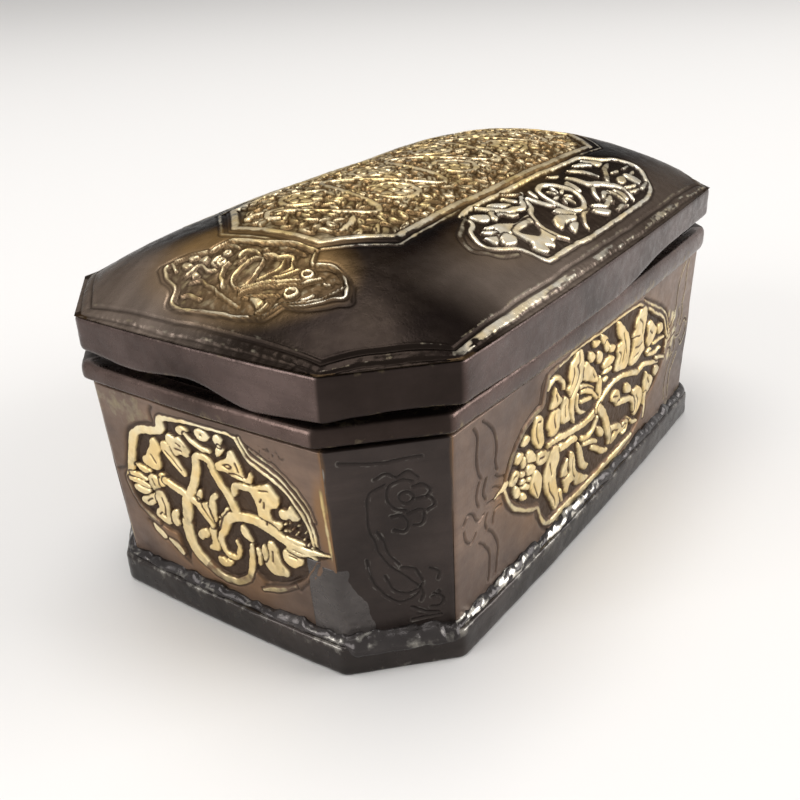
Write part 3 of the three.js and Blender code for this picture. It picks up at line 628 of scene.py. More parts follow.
SIDE_GROOVES = [
    [(-67.7, 49.4), (-66.3, 46.9), (-66.6, 41.9), (-65.9, 37.6), (-64.5, 35.1)],
    [(-64.1, 49.8), (-61.6, 47.3), (-59.5, 44.8), (-58.4, 40.5), (-58.6, 36.2), (-57.7, 34.1)],
    [(-65.2, 34.8), (-66.3, 31.2), (-65.2, 28.3)], [(-62.4, 34.1), (-63.4, 31.2), (-62, 28.3)],
    [(-53.4, 30.5), (-56.3, 31.2), (-58.4, 33)], [(-59.1, 29.8), (-55.6, 28.3)],
    [(-61.3, 26.6), (-54.1, 25.5)], [(-61.3, 24.1), (-62, 22), (-61.6, 19.8)],
    [(-58.4, 19.8), (-57.7, 22.6), (-54.9, 23)],
    [(-72, 26.6), (-69.9, 28.3), (-67.7, 27.6), (-66.3, 25.5), (-64.9, 24.4), (-62.7, 24.8)],
    [(-71.6, 24.8), (-70.6, 21.9), (-68.4, 20.1), (-66.3, 21.9)],
    [(-64.9, 17.6), (-62.4, 15.5), (-60.2, 12.6), (-59.5, 8.3), (-59.9, 4.1)],
    [(-60.6, 19.1), (-57.7, 16.2), (-55.9, 11.9), (-55.9, 8.3), (-56.3, 4.4)],
]
SIDE_STEMS = [
    [(-31, 28, 1.4), (-28, 27.7, 1.8), (-24, 27.2, 1.9), (-20, 26.3, 1.9), (-15, 25.4, 1.9),
     (-10, 24.8, 2), (-5, 25, 2.2), (-1, 26, 3)],
    [(-1, 26, 3), (2, 27.6, 2), (5, 28.6, 1.7), (9, 29.2, 1.7), (13, 29, 1.7), (17, 28.5, 1.7),
     (21, 27.6, 1.7), (25, 26.4, 1.7), (28, 25.4, 1.7), (31, 25.8, 1.6), (34, 26, 1.5), (38, 24.6, 1.4),
     (42, 23.2, 1.3), (46, 21.8, 1.1)],
    [(0.4, 25.6, 2.6), (1.8, 24.2, 2.8), (4.2, 21.6, 2.9), (6.6, 18.2, 2.8), (7.8, 15, 2.4), (9, 12.4, 2),
     (9.4, 10, 1.4)],
    [(14, 20.2, 1.4), (17, 19.9, 1.8), (20, 19.2, 1.8), (24, 18, 1.8), (27, 15.8, 1.6),
     (28.2, 12.8, 1.2)],
    [(-10, 20.3, 1.5), (-6, 19.2, 1.7), (-3, 20, 1.8), (-0.6, 22.6, 1.8)],
    [(-8.4, 17.8, 1.2), (-4, 16.5, 1.6), (0, 14.8, 1.4)],
    [(-3, 14.2, 1.4), (1.6, 11.6, 1.9), (5, 9.4, 1.9), (8.4, 8, 1.3)],
    [(-32.8, 44.4, 1), (-31, 46, 1.4), (-28, 46, 1.5), (-26, 44.8, 1.5), (-24.4, 43, 1.3),
     (-23.8, 41.2, 1)],
    [(-14, 37.7, 1.3), (-11, 36.6, 1.4), (-8, 35.2, 1.4), (-5.2, 33.8, 1.2)],
    [(-13, 35.7, 1.2), (-9, 34.6, 1.3), (-5, 32.4, 1.3), (-2, 30, 1.1)],
    [(-12.8, 33, 1), (-10, 32.2, 1.2), (-6, 31.4, 1)],
    [(-15.4, 36, 1.1), (-14.9, 32.2, 1.2), (-12, 29.7, 1.3), (-8, 28.6, 1.1)],
    [(37.2, 14, 1.8), (37.6, 10, 1.6), (37.8, 6.6, 1.1)], [(40, 30.2, 1), (45, 29.5, 1.1), (50, 29, 0.9)],
    [(36.5, 28, 1), (42, 26.4, 1.2), (47, 26.4, 0.9)],
    [(44, 23.8, 1.1), (48, 22.6, 1.1), (52, 21.2, 0.8)], [(26, 10, 1.2), (29, 8, 1.3), (32, 7, 1)],
    [(20, 11, 1), (22.2, 11.2, 1), (24, 9.6, 1), (22.8, 7.6, 1), (20.6, 7.6, 0.9)],
    [(-22.4, 10, 1.3), (-21.6, 8, 1.5), (-21, 6, 1.1)],
]
SIDE_SHAPES = [
    # leaflets at the near tip
    [(-45, 35.2), (-43.5, 36.4), (-41.6, 35.9), (-41.2, 34.7), (-43, 33.5), (-45, 34.2)],
    [(-48.8, 32.3), (-46.5, 33), (-44.3, 32), (-45.4, 30.5), (-47.2, 29.9), (-48.8, 31)],
    [(-51, 26.3), (-50.2, 28.2), (-47.6, 28.8), (-46.1, 27.4), (-47.4, 25.6), (-49.5, 25.1)],
    [(-49, 23.8), (-47.5, 24.4), (-46, 23.5), (-45.2, 21.4), (-46.8, 20.6), (-48.5, 21.9)],
    [(-45, 29.8), (-43.6, 30.8), (-42.4, 29.6), (-42.8, 28.1), (-44.6, 27.6), (-45.2, 28.6)],
    [(-45.4, 27.2), (-43.6, 26.7), (-42.5, 25.6), (-44.4, 25.2), (-45.5, 26.1)],
    [(-42.2, 28.5), (-42.5, 30.9), (-41.2, 31.4), (-39.2, 30.4), (-38, 28.6), (-37.7, 26.9),
     (-39.4, 27.1), (-41.4, 27.9)],
    [(-42.3, 26.8), (-40.6, 27), (-38.2, 26), (-37.7, 25), (-39.6, 23.7), (-41.4, 24.3), (-42.7, 25.5)],
    [(-45.2, 24.6), (-43.4, 24.5), (-42.3, 23.2), (-44, 22.9), (-45.3, 23.5)],
    [(-45, 22.7), (-42.8, 22.5), (-41, 21.9), (-40.3, 20.9), (-41.4, 20.1), (-43.3, 21.1)],
    [(-41.8, 23.2), (-40.2, 23.6), (-39.4, 22.7), (-40.8, 22)],
    [(-44.8, 20.3), (-43.4, 20.4), (-42.1, 18.8), (-42.1, 17.8), (-44, 18.2), (-45, 19.3)],
    [(-39.8, 37), (-38.5, 39.4), (-36.4, 39.1), (-35, 37.5), (-34.8, 35), (-34, 32), (-33.7, 30.1),
     (-35.5, 29.2), (-37.7, 30.8), (-39.5, 33), (-39.9, 35.5)],
    [(-37, 26), (-36.4, 28.4), (-33, 27.8), (-30.4, 26.7), (-30.8, 24.9), (-33, 24), (-35.6, 24.7)],
    [(-39.3, 22), (-38, 24), (-36, 23.6), (-34, 21.1), (-33.5, 18.4), (-34.4, 16), (-35.6, 14.8),
     (-37.5, 16.4), (-39.2, 18.2), (-39.9, 20)],
    # leaves at the left of the crossing
    [(-32.4, 34.7), (-31.2, 32), (-29.9, 30.1), (-27.5, 29.6), (-25.5, 30.5), (-25.2, 33), (-25.4, 36),
     (-27.5, 37.3), (-30.2, 37.3)],
    [(-31.3, 38.4), (-30.1, 40.6), (-29.6, 42.7), (-28.5, 43.6), (-27.8, 42.1), (-26.2, 40.2),
     (-24.8, 39.1), (-25.2, 38.2), (-28.4, 37.8)],
    [(-29.6, 25.3), (-31.5, 22), (-32.1, 18.5), (-31.4, 15), (-30, 12.4), (-28.1, 9.6), (-26.5, 7.2),
     (-25, 5.4), (-22.2, 6.8), (-22.8, 9.6), (-24.3, 12), (-25.5, 15), (-25.8, 18.5), (-24.3, 21),
     (-24.8, 24.8), (-27.6, 26.3)],
    [(-24.5, 37.9), (-22.8, 38.6), (-21, 37), (-20.7, 35), (-19.8, 32.6), (-18.9, 30.5), (-21.5, 30.4),
     (-24.1, 31.6), (-24.7, 34.5)],
    [(-14.2, 48.2), (-16.5, 48.5), (-18.7, 47.1), (-20.8, 45.8), (-21.2, 43), (-20.4, 41.2), (-22.2, 40),
     (-20.7, 38.6), (-19.6, 36), (-19.1, 33), (-18.3, 30.4), (-17, 28.7), (-16.1, 27.8), (-16.4, 30),
     (-17.2, 33), (-17, 35.8), (-15.3, 38), (-13, 39.4), (-11.9, 41), (-12.2, 44), (-13.2, 46.8)],
    [(-11.8, 43), (-9.6, 43.2), (-8, 41.2), (-5.8, 40.2), (-4.2, 38.5), (-2.6, 36.5), (-1, 35.4),
     (-2.4, 34.8), (-5, 35.6), (-8, 36.9), (-11, 38.2), (-12.8, 39.2)],
    [(-9, 45), (-8, 45.4), (-6, 44.2), (-5.3, 42.7), (-7.6, 41.9), (-8.8, 43.4)],
    [(-6.6, 47.8), (-4.4, 47.4), (-2.4, 46.6), (-5, 45.4), (-6.6, 46.2)],
    [(-4.1, 43.7), (-2.4, 43.8), (-0.5, 42.5), (-0.3, 40.6), (-2.2, 39.9), (-3.9, 41.5)],
    [(-1.9, 48), (0.6, 47.2), (3.1, 45.3), (1.6, 44.4), (-0.9, 45.2)],
    # below the stem
    [(-17.9, 19.4), (-15.9, 19), (-14.3, 17), (-13.5, 13.8), (-11.9, 10.8), (-9, 8.8), (-6, 6.8),
     (-3.4, 5.6), (-6, 5), (-9.4, 5.6), (-12.4, 6.8), (-14, 8.8), (-16.6, 8.8), (-17.6, 6.8),
     (-19.5, 7.8), (-20.1, 10), (-20.7, 12.7), (-17.6, 12.6), (-16.7, 13.6), (-17.9, 16)],
    [(-12.6, 20.2), (-10.5, 18.8), (-8.7, 15.7), (-7.5, 12.8), (-6.2, 11), (-4.4, 9.9), (-6.4, 9),
     (-8.8, 10.2), (-10.5, 12.6), (-11.3, 15.6), (-12.1, 18)],
    [(-24.6, 24.7), (-22.4, 24.6), (-20.4, 24.2), (-17.4, 24), (-14, 22.9), (-13.6, 21.4), (-17, 21.8),
     (-21, 22), (-23.8, 22.6)],
    [(-22.6, 14.8), (-20.4, 17.8), (-18.6, 18.2), (-18.8, 15.2), (-18, 13.2), (-20.4, 13.4)],
    [(0, 19.6), (2.6, 18.4), (4.6, 16.4), (4, 14.8), (2, 15.8), (0.2, 17.6)],
    [(8, 15.2), (12, 14.6), (15, 13.8), (17.6, 12.5), (19, 11.2), (22, 12.3), (25.4, 11.2), (27.6, 9.4),
     (24, 9.8), (20, 8.8), (16.4, 9.2), (12, 8.6), (9.6, 9.8), (8, 12.4)],
    [(8.9, 24.5), (11, 25.7), (13.7, 25.1), (15.1, 23), (15.7, 20.8), (13, 21), (10.4, 22.5),
     (9.2, 23.5)],
    [(18.6, 25), (20.6, 24.7), (23.1, 23.1), (24.2, 21), (22.6, 20.6), (19.7, 21.8), (18.2, 23.5)],
    [(25.8, 20.2), (30, 20.2), (33.1, 18.1), (34.8, 15), (34.2, 12.5), (32, 10.8), (29.5, 9.9),
     (27.9, 12), (27.4, 15), (25.8, 17.6)],
    # the flames at the right of the crossing
    [(9.8, 47.8), (11.4, 47.6), (12.8, 46.2), (15.2, 44), (17.6, 41.7), (19.2, 39), (19.6, 36),
     (19.2, 33), (17.6, 30.9), (15, 31.2), (12, 31.6), (9.8, 32.9), (10.4, 35), (11.4, 36.6),
     (10.2, 38.4), (10.4, 40.4), (13.2, 40.6), (11.8, 42), (10.4, 44), (9.8, 46)],
    [(0.4, 38.4), (3, 39.6), (6, 39.4), (8.2, 37.9), (7, 36.8), (4, 36.5), (1.5, 36.7)],
    [(0.9, 35.5), (4, 36), (7.2, 35.5), (6.2, 34.6), (3, 34.7)],
    [(1.3, 33.2), (3.4, 33.6), (5.2, 33), (3.4, 32.1)],
    [(-0.8, 36), (0.8, 33.2), (0.8, 30), (-0.4, 28.9), (-1.6, 31), (-1.8, 34)],
    [(1.5, 45), (3.5, 44.1), (4.1, 42.6), (2.6, 41.5), (1.3, 43)],
    [(4.5, 42.8), (6.7, 42.2), (8.6, 41.1), (7.1, 39.9), (4.9, 40.9)],
    [(21, 30.4), (20.5, 32.4), (21.9, 35), (22.5, 37.4), (21.3, 39.4), (22.9, 41.2), (22.5, 42.4),
     (24.4, 44.5), (26.6, 46.2), (30.1, 45.8), (31.6, 43.7), (31.2, 40), (30.2, 36.6), (30.8, 34),
     (31.8, 31.6), (28, 30), (24, 29.4)],
    # the far tip
    [(33.4, 38.6), (36.1, 39.4), (39.1, 37), (41.7, 35.1), (41.1, 32.6), (38, 31.2), (34.9, 31.1),
     (33.2, 33.6), (34.4, 36)],
    [(43, 34.7), (46.1, 35), (48.2, 32.5), (46.6, 31.4), (43.8, 31.9)],
    [(36, 22.8), (38.1, 20.8), (41.8, 18.7), (43.2, 16.4), (41, 14.5), (38, 13.9), (35.7, 15.5),
     (34.9, 18), (34.7, 20.6)],
    [(43.8, 21), (46.4, 20.4), (48, 18.8), (45.6, 17.2), (43.6, 18.6)],
    [(34.2, 29.6), (37.4, 30), (38.6, 29), (35.6, 28.4)],
]
SIDE_HOLES = [
    [(3.4, 25.8), (5.6, 27.1), (7.6, 26.1), (8.6, 24.2), (7, 23.8), (5, 24.2)],
    [(-11.6, 30.9), (-8, 30.4), (-4.2, 28), (-5, 27.2), (-9, 28.6)],
    [(10.8, 12.9), (12, 12.8), (13, 11.6), (11.4, 11)],
    [(-16.8, 7.6), (-15.6, 7.9), (-15.4, 7.1), (-16.6, 6.8)],
]
SIDE_VEINS = [
    [(-36.3, 37.3), (-37.9, 37.6), (-38.2, 36), (-37.7, 33.6), (-36.5, 31.3)],
    [(-38.2, 20.6), (-36.8, 17.6), (-35.7, 15.6)], [(-28.6, 36), (-28.2, 33.5), (-27.3, 31.5)],
    [(-29.8, 16.5), (-28.9, 13.6), (-27.3, 11.3), (-25.6, 9), (-25.2, 7)],
    [(-18.6, 44.6), (-18.4, 42.6), (-19.6, 40.4)],
    [(-16.4, 44.4), (-15.4, 42), (-17.6, 38.8), (-19.6, 37.2)],
    [(-15.6, 47.8), (-15.2, 45), (-16.6, 44.6)], [(-6, 38.4), (-4, 36.6)], [(14, 43), (16, 39), (17, 36)],
    [(11.6, 38), (13.4, 36.6), (12.6, 34)], [(21.6, 38.8), (24, 38.4), (26.6, 37.8)],
    [(24, 35), (27, 34), (29.6, 34.4)], [(-49, 27.2), (-47.5, 27.2)],
    [(26, 43), (28.6, 41), (28.8, 37.6)], [(23.4, 32), (27, 31.8)], [(36, 36), (38.6, 34)],
    [(29, 17.6), (31.2, 14.6), (31, 12)], [(37.4, 20), (40, 17)], [(-22.6, 35.8), (-22, 32.6)],
    [(-33, 26), (-35.6, 26.4)], [(-29.6, 22), (-28.4, 18)], [(14.6, 33.6), (15.6, 37.6)],
    [(-15.4, 17), (-15.4, 13.6), (-13.6, 10)], [(-28.4, 41.4), (-27.6, 39.4)], [(12.4, 12.6), (16, 11)],
    [(10.4, 24.2), (13.6, 22.8)],
]
SIDE_SPREAD = 0.03
SIDE_GLOW = ((0, 26), (66, 34))
TIP_GLOW = ((53, 27), (9, 10))
FAR_WEAR = ((55, 28), (8, 14))


def carve_side(face):
    face.spread = SIDE_SPREAD
    face.hollow(SIDE_GROUND)
    for line in SIDE_GROOVES:
        face.groove(line, 0.34, 0.42, glint=0.24)
        face.groove([(-s, h) for s, h in line], 0.34, 0.3, glint=0.55)
    for line in SIDE_EDGES:
        face.groove(line)
    face.strokes(SIDE_BANDS, BAND_TOP)
    for loop in SIDE_SHAPES:
        face.island(loop, 0.92)
    for line in SIDE_STEMS:
        face.stroke(line, polish=0.95)
    for loop in SIDE_HOLES:
        face.hollow(loop, HOLE_DEPTH)
    for line in SIDE_VEINS:
        face.groove(line, VEIN_WIDTH)
    face.tint(patch(face.s, face.h, *SIDE_GLOW, 0.4))
    face.tint(patch(abs(face.s), face.h, *TIP_GLOW, 0.8))
    wear_side(face)


def wear_side(face):
    """Bright streaks beyond the far tip, and a worn strip along the foot that grows towards the far side."""
    streaks = smooth(noise(face.s, face.h * 0.5, 1.7, face.seed + 14), -0.7, 0.3)
    face.wear(0.66 * patch(face.s, face.h, *FAR_WEAR, 0.5) * streaks * (face.sunk_or_shaded < 0.3))
    low = smooth(face.h + 1.2 * face.noise(4, 11), 3, 0.8) * smooth(face.s, -46, -20)
    face.wear(0.6 * low * smooth(face.noise(2.4, 12), -0.6, 0.3))


# The corner faces' flower, whose heart is a small ring

CORNER_LINES = [
    [(-10.3, 48.1), (-2.3, 47.3), (7.2, 47.3)], [(-3.4, 43.1), (-0.9, 44.3), (1.3, 43.1)],
    [(1.6, 42.9), (4.1, 44.1), (6.3, 42.3)], [(4.9, 40.4), (7.2, 40.6), (8.8, 39), (7.7, 37.3)],
    [(4.9, 37), (8.3, 37.3), (9.4, 35.1), (7.7, 33.7)],
    [(3.3, 33.4), (6.9, 34), (6.6, 30.4), (4.4, 30.1)],
    [(-0.6, 32.9), (1.9, 32.9), (3.3, 30.6), (2.2, 28.7), (-0.1, 29.5)],
    [(-1.2, 41.2), (-4.5, 39.3), (-5.3, 35.6), (-5.6, 30.1), (-4.5, 27.3), (-3.4, 23.4), (-1.7, 20.1),
     (1.6, 16.8), (4.9, 13.4), (5.8, 10.6), (5.2, 8.7)],
    [(-3.9, 29.5), (-2.3, 26.2), (-1.2, 22.9), (0.8, 20)], [(7.7, 17.9), (9.8, 16.4), (9.4, 14.5)],
    [(7.7, 9.5), (9.6, 10), (9.4, 11.2)], [(2.7, 3.4), (9.4, 3.7)],
    [(5, 41.6), (2.4, 42.2), (-0.4, 40.6), (-0.8, 37.4), (0.6, 34.8), (3.4, 34.2)],
    [(-6.4, 22.6), (-6, 17.5), (-3.6, 12.3), (0, 9.3), (4.3, 10.6), (5.9, 14)],
    [(1.1, 19.2), (4.3, 18.3), (5.9, 14.8)], [(-2.8, 17.5), (-1.3, 13.2), (1.9, 11.5), (4.7, 12.3)],
    [(2.8, 7.2), (5.9, 5.4), (9, 4.6)], [(8.3, 10.6), (10.2, 8.5), (9.4, 6.3), (7.4, 6.7)],
]
CORNER_HEART = (3.4, 37.6)
CORNER_HEART_RADIUS = 1.6


def carve_corner(face):
    for line in CORNER_LINES:
        face.groove(line, 0.3, 0.34, glint=0.3)
    heart = [polar(*CORNER_HEART, CORNER_HEART_RADIUS, k) for k in range(6)]
    face.groove(heart, 0.3, 0.3, True, 0.3)


# The lid, in the box's own x and y. Two of its slopes are drawn, and their stems start with their shine

LEFT_SLOPE_LOOP = [
    (-88.4, 11.6), (-87.6, 13.7), (-86.8, 15.6), (-85.3, 17.5), (-83.4, 19.5), (-81.5, 18.9),
    (-79.5, 17.2), (-78, 14.8), (-77, 12.7), (-76.5, 11), (-74.9, 10.6), (-73, 9.8), (-71.7, 8.7),
    (-71.3, 6.4), (-71, -0.2), (-70.1, -4), (-69.3, -6.7), (-69.3, -10.9), (-69.5, -13.6), (-70.3, -14.4),
    (-74.2, -16.5), (-73.4, -18.6), (-72.8, -20.5), (-73, -22.5), (-73.8, -24.4), (-74.9, -25.9),
    (-76.5, -27.1), (-79.5, -28.6), (-81.5, -26.7), (-83.8, -24.8), (-85.3, -22.8), (-86.3, -20.5),
    (-86.8, -17.8), (-87.6, -17.1), (-89.5, -15.9), (-90.7, -14.8), (-91.1, -12.1), (-91.7, -9),
    (-92.2, -4), (-92.6, -0.5), (-92.8, 4.5), (-92.6, 7.5), (-91.8, 9.5), (-89.5, 10.6),
]
LEFT_SLOPE_STEMS = [
    (0.7, [(-90.7, -12.8, 0.5), (-89.7, -15.3, 0.6), (-86.8, -16.7, 0.6), (-86.1, -18.6, 0.6),
        (-85.3, -20.9, 0.6), (-83.8, -23.2, 0.6), (-81.5, -25.2, 0.6), (-77.2, -26.9, 0.5)]),
    (0.8, [(-86.8, 9.1, 0.5), (-86, 7.5, 0.7), (-85.7, 6, 0.7), (-86.5, 4.1, 0.6), (-86.8, 2.5, 0.6),
        (-87.4, 0.6, 0.7), (-88.2, -0.5, 0.8), (-88.8, -3.6, 0.7), (-89.2, -5.9, 0.6),
        (-89.7, -7.8, 0.5)]),
    (1, [(-85.3, 11.8, 0.6), (-83.4, 11.4, 0.7), (-81.8, 11, 0.8), (-81.7, 9.5, 0.8), (-82.6, 7.9, 0.8),
        (-83, 6.8, 0.8), (-82.6, 5.2, 0.7)]),
    (1, [(-83.8, 16, 0.8), (-82.6, 17.5, 0.9), (-82, 18.7, 0.8)]),
    (1, [(-81.1, 6, 0.9), (-80.7, 7.5, 1), (-79.2, 7.7, 1), (-78, 7, 0.7)]),
    (1, [(-79.5, 3.3, 0.7), (-81.1, 3.7, 0.9), (-82.6, 2.9, 0.9), (-84.2, 1.8, 1), (-84.9, 0.6, 1),
        (-86.5, -0.5, 0.8)]),
    (1, [(-77.2, 2.2, 0.6), (-76.1, 2.5, 0.8), (-74.9, 1.8, 0.9), (-74.5, 0.2, 0.9), (-74.9, -1.3, 0.9),
        (-75.3, -2.1, 0.7)]),
    (1, [(-75.3, -3.6, 0.9), (-74.5, -5.9, 1.1), (-74.9, -7.8, 1.1), (-74.2, -9, 1.1), (-73.8, -10.9, 1),
        (-74.9, -11.7, 0.8)]),
    (0.9, [(-85.9, -3.6, 0.6), (-85.1, -2.1, 0.6), (-83.4, -1.2, 0.7), (-81.5, -1, 0.7),
        (-77.2, -1.7, 0.7), (-76.5, -4, 0.6), (-77.6, -5, 0.6), (-79.9, -5.7, 0.6), (-82.5, -6, 0.6),
        (-84.9, -5.6, 0.6), (-85.9, -3.6, 0.6)]),
    (0.9, [(-82.6, -7.5, 0.6), (-80.7, -9, 0.8), (-79.2, -10.2, 0.8), (-77.2, -10.5, 0.8),
        (-75.3, -9.8, 0.6)]),
    (0.9, [(-79.5, -11.7, 0.6), (-77.2, -13.2, 0.8), (-75.7, -12.1, 0.6)]),
    (1, [(-86.3, -5.4, 0.7), (-84.2, -7.4, 0.7), (-82.6, -9.7, 0.7), (-81.3, -12.8, 0.7),
        (-80.2, -15.5, 0.7), (-79.6, -17.1, 0.6)]),
    (0.8, [(-87, -5.9, 0.6), (-85, -7.9, 0.6), (-83.6, -10, 0.6), (-82.5, -13, 0.6), (-81.4, -15.7, 0.6),
        (-80.8, -17.3, 0.5)]),
    (0.7, [(-87.4, -7.2, 0.5), (-86.4, -9.4, 0.6), (-85.7, -12, 0.6), (-84.6, -15.2, 0.5)]),
    (0.9, [(-80.3, -18.2, 0.5), (-78.8, -19.4, 0.7), (-77.2, -21.3, 0.6)]),
    (0.8, [(-78.4, -22.6, 0.6), (-78, -24, 0.5)]),
    (0.9, [(-84.5, -20.9, 0.8), (-83.4, -22.1, 1), (-82.2, -22.5, 0.7)]),
    (0.8, [(-89.9, -12.8, 0.7), (-88.8, -14, 1), (-87.2, -14.2, 0.6)]),
    (0.8, [(-90, 3, 0.6), (-89.4, 6, 0.8), (-90, 8.4, 0.6)]),
    (0.8, [(-74, 4.6, 0.6), (-73.6, 7, 0.8), (-74.6, 8.6, 0.6)]),
    (0.8, [(-79.4, 0.8, 0.6), (-77.8, 0.3, 0.8), (-76.6, 0.6, 0.5)]),
    (0.7, [(-72, -5.6, 0.6), (-71.4, -9, 0.8), (-71.8, -12.6, 0.6)]),
]
LEFT_SLOPE_SHAPES = [
    [(-81.3, 11.5), (-79.5, 11.7), (-78.1, 10.9), (-78.8, 9.9), (-80.8, 9.7)],
    [(-82.8, 14.5), (-81.6, 15.5), (-80.9, 14), (-81.6, 12.3), (-82.8, 12.8)],
    [(-74, -1.5), (-73.3, -1.9), (-72.7, -3.1), (-73.6, -3.2)],
    [(-82.4, -9.7), (-80.8, -12.1), (-78.8, -14.1), (-76.5, -15.5), (-78, -13.4), (-80.3, -11)],
    [(-89.3, -12.7), (-88.1, -10.9), (-87, -8.6), (-86.6, -11.6), (-87.6, -13.8)],
    [(-84, 8.8), (-83.6, 9.8), (-84.8, 10.2), (-85.6, 9.2), (-84.8, 8)],
    [(-79.6, 15.6), (-78.4, 14.4), (-78.6, 12.8), (-79.8, 13.4), (-80.2, 14.8)],
]
LEFT_SLOPE_RINGS = [((-77.3, -17.5), 1.2), ((-83.2, -17.5), 1.3), ((-76.4, 6.1), 0.8), ((-79.6, 5.5), 0.9)]
FRONT_SLOPE_LOOP = [
    (-14, -27.7), (-23.2, -28.1), (-30.5, -28.7), (-33.2, -29.9), (-32.6, -31.6), (-33.5, -33.1),
    (-35.8, -34), (-37.4, -35), (-38.5, -36.5), (-39.5, -38.3), (-39.7, -39.8), (-38.7, -41),
    (-36.6, -41.9), (-33.9, -42.9), (-32, -43.7), (-30.5, -45), (-29.3, -46.5), (-28.5, -48.1),
    (-27, -49.6), (-25.1, -50.2), (-14, -50.5), (8, -50.6), (24, -50.3), (38, -49.8), (44, -48.9),
    (47.6, -47.2), (50.6, -44.8), (54.6, -42.2), (56.4, -39.4), (54.8, -36.6), (51.4, -34.2),
    (46.6, -32.6), (43.4, -30.6), (40, -28.6), (34, -27.9), (10, -27.6),
]
FRONT_SLOPE_STEMS = [
    (0.45, [(-31.6, -30.2, 0.5), (-35.1, -31.2, 0.8), (-37.8, -32.7, 0.9), (-40.5, -34, 0.9),
        (-42.4, -35.8, 0.9), (-43.7, -37.7, 0.9), (-44.1, -39.2, 0.9), (-43.2, -40.4, 0.9),
        (-41.6, -41.5, 0.9), (-39.3, -43.5, 0.8), (-36.6, -44.6, 0.8), (-33.4, -45.4, 0.5)]),
    (1, [(-24.3, -29.2, 1), (-22, -30.8, 1.5), (-19.7, -32.7, 1.6), (-17.4, -34, 1.6), (-14, -34.5, 1.6),
        (-11, -35.2, 1.6), (-9.1, -34.2, 1.6), (-6.8, -32.7, 1.5), (-4.8, -31.2, 1.4), (-3.3, -30.6, 1)]),
    (0.7, [(-22.4, -34.2, 0.7), (-20.6, -34.1, 0.9), (-18.2, -35.7, 1), (-16.2, -36.3, 0.8)]),
    (1, [(-34.1, -36.2, 0.8), (-32.4, -37, 1), (-30.6, -37.9, 0.7)]),
    (0.9, [(-9.8, -28.6, 0.6), (-7, -29.8, 0.8), (-4.8, -30.6, 0.7)]),
    (1, [(-4.5, -33.1, 1.2), (-3.7, -35, 1.5), (-2.5, -36.9, 1.5), (-0.2, -38.8, 1.1)]),
    (1, [(-6.4, -33.8, 0.9), (-8.3, -36.2, 1.2), (-10.6, -37.3, 1.2), (-12.5, -38.5, 1.2),
        (-13.7, -40, 1.2), (-14.5, -41.5, 1.2), (-14.8, -43.5, 1.2), (-14.1, -45.4, 1.1),
        (-12.9, -47.3, 1), (-11.4, -48.5, 0.8)]),
    (0.9, [(-0.2, -48.5, 0.7), (0.9, -47.3, 0.9), (2.8, -46.2, 1), (5.5, -45, 1), (8.6, -44.4, 0.9),
        (10.5, -44.2, 0.7)]),
    (1, [(13.2, -44.2, 0.9), (15.9, -45, 1.2), (17.8, -46, 1.2), (21.7, -45, 1.2), (24, -44.4, 0.8)]),
    (1, [(14, -30, 0.7), (16, -30.7, 0.9), (18, -31.2, 0.7)]),
    (1, [(18.6, -43.5, 0.8), (20.2, -41.5, 1.1), (22.5, -40, 1.1), (24, -39.4, 0.8)]),
    (1, [(20.4, -33, 1), (22, -35, 1.8), (23.2, -36.9, 2), (25.1, -38.3, 2), (27.8, -39.2, 2),
        (30.5, -40.4, 2), (32.8, -41.9, 1.9), (34.3, -43.8, 1.7), (34.3, -45.8, 1.4),
        (32.4, -48.1, 0.9)]),
    (0.7, [(33, -40, 1.2), (34.3, -39.2, 1.5), (36.6, -38.1, 1.6), (39.3, -36.5, 1.6), (42, -35.6, 1.5),
        (45.1, -35, 1)]),
    (0.9, [(40.3, -38.3, 0.7), (43.7, -38.6, 0.8)]),
    (0.9, [(35.1, -45.8, 0.7), (38, -46.3, 1), (40.5, -46.5, 0.7)]),
    (0.9, [(36.6, -44.2, 0.7), (39, -44.6, 1), (42, -45, 0.6)]),
    (0.8, [(42.6, -46.8, 0.7), (45, -46.7, 1), (48, -46, 0.6)]),
    (0.9, [(47, -41.5, 0.8), (50.5, -40.8, 0.8)]), (0.8, [(48, -38.6, 0.8), (52, -38.4, 0.8)]),
    (0.9, [(25, -31, 1), (28.4, -32.4, 1.4), (31, -34.6, 1.4), (32.4, -37.2, 1)]),
    (0.9, [(30.6, -30.2, 0.9), (34, -31, 1.3), (37.6, -32.8, 1)]),
    (0.8, [(26.4, -42.6, 0.9), (28, -44.8, 1.3), (27.6, -47.6, 0.9)]),
    (0.8, [(20.4, -48.4, 0.8), (24, -48, 1.1), (27, -48.8, 0.7)]),
]
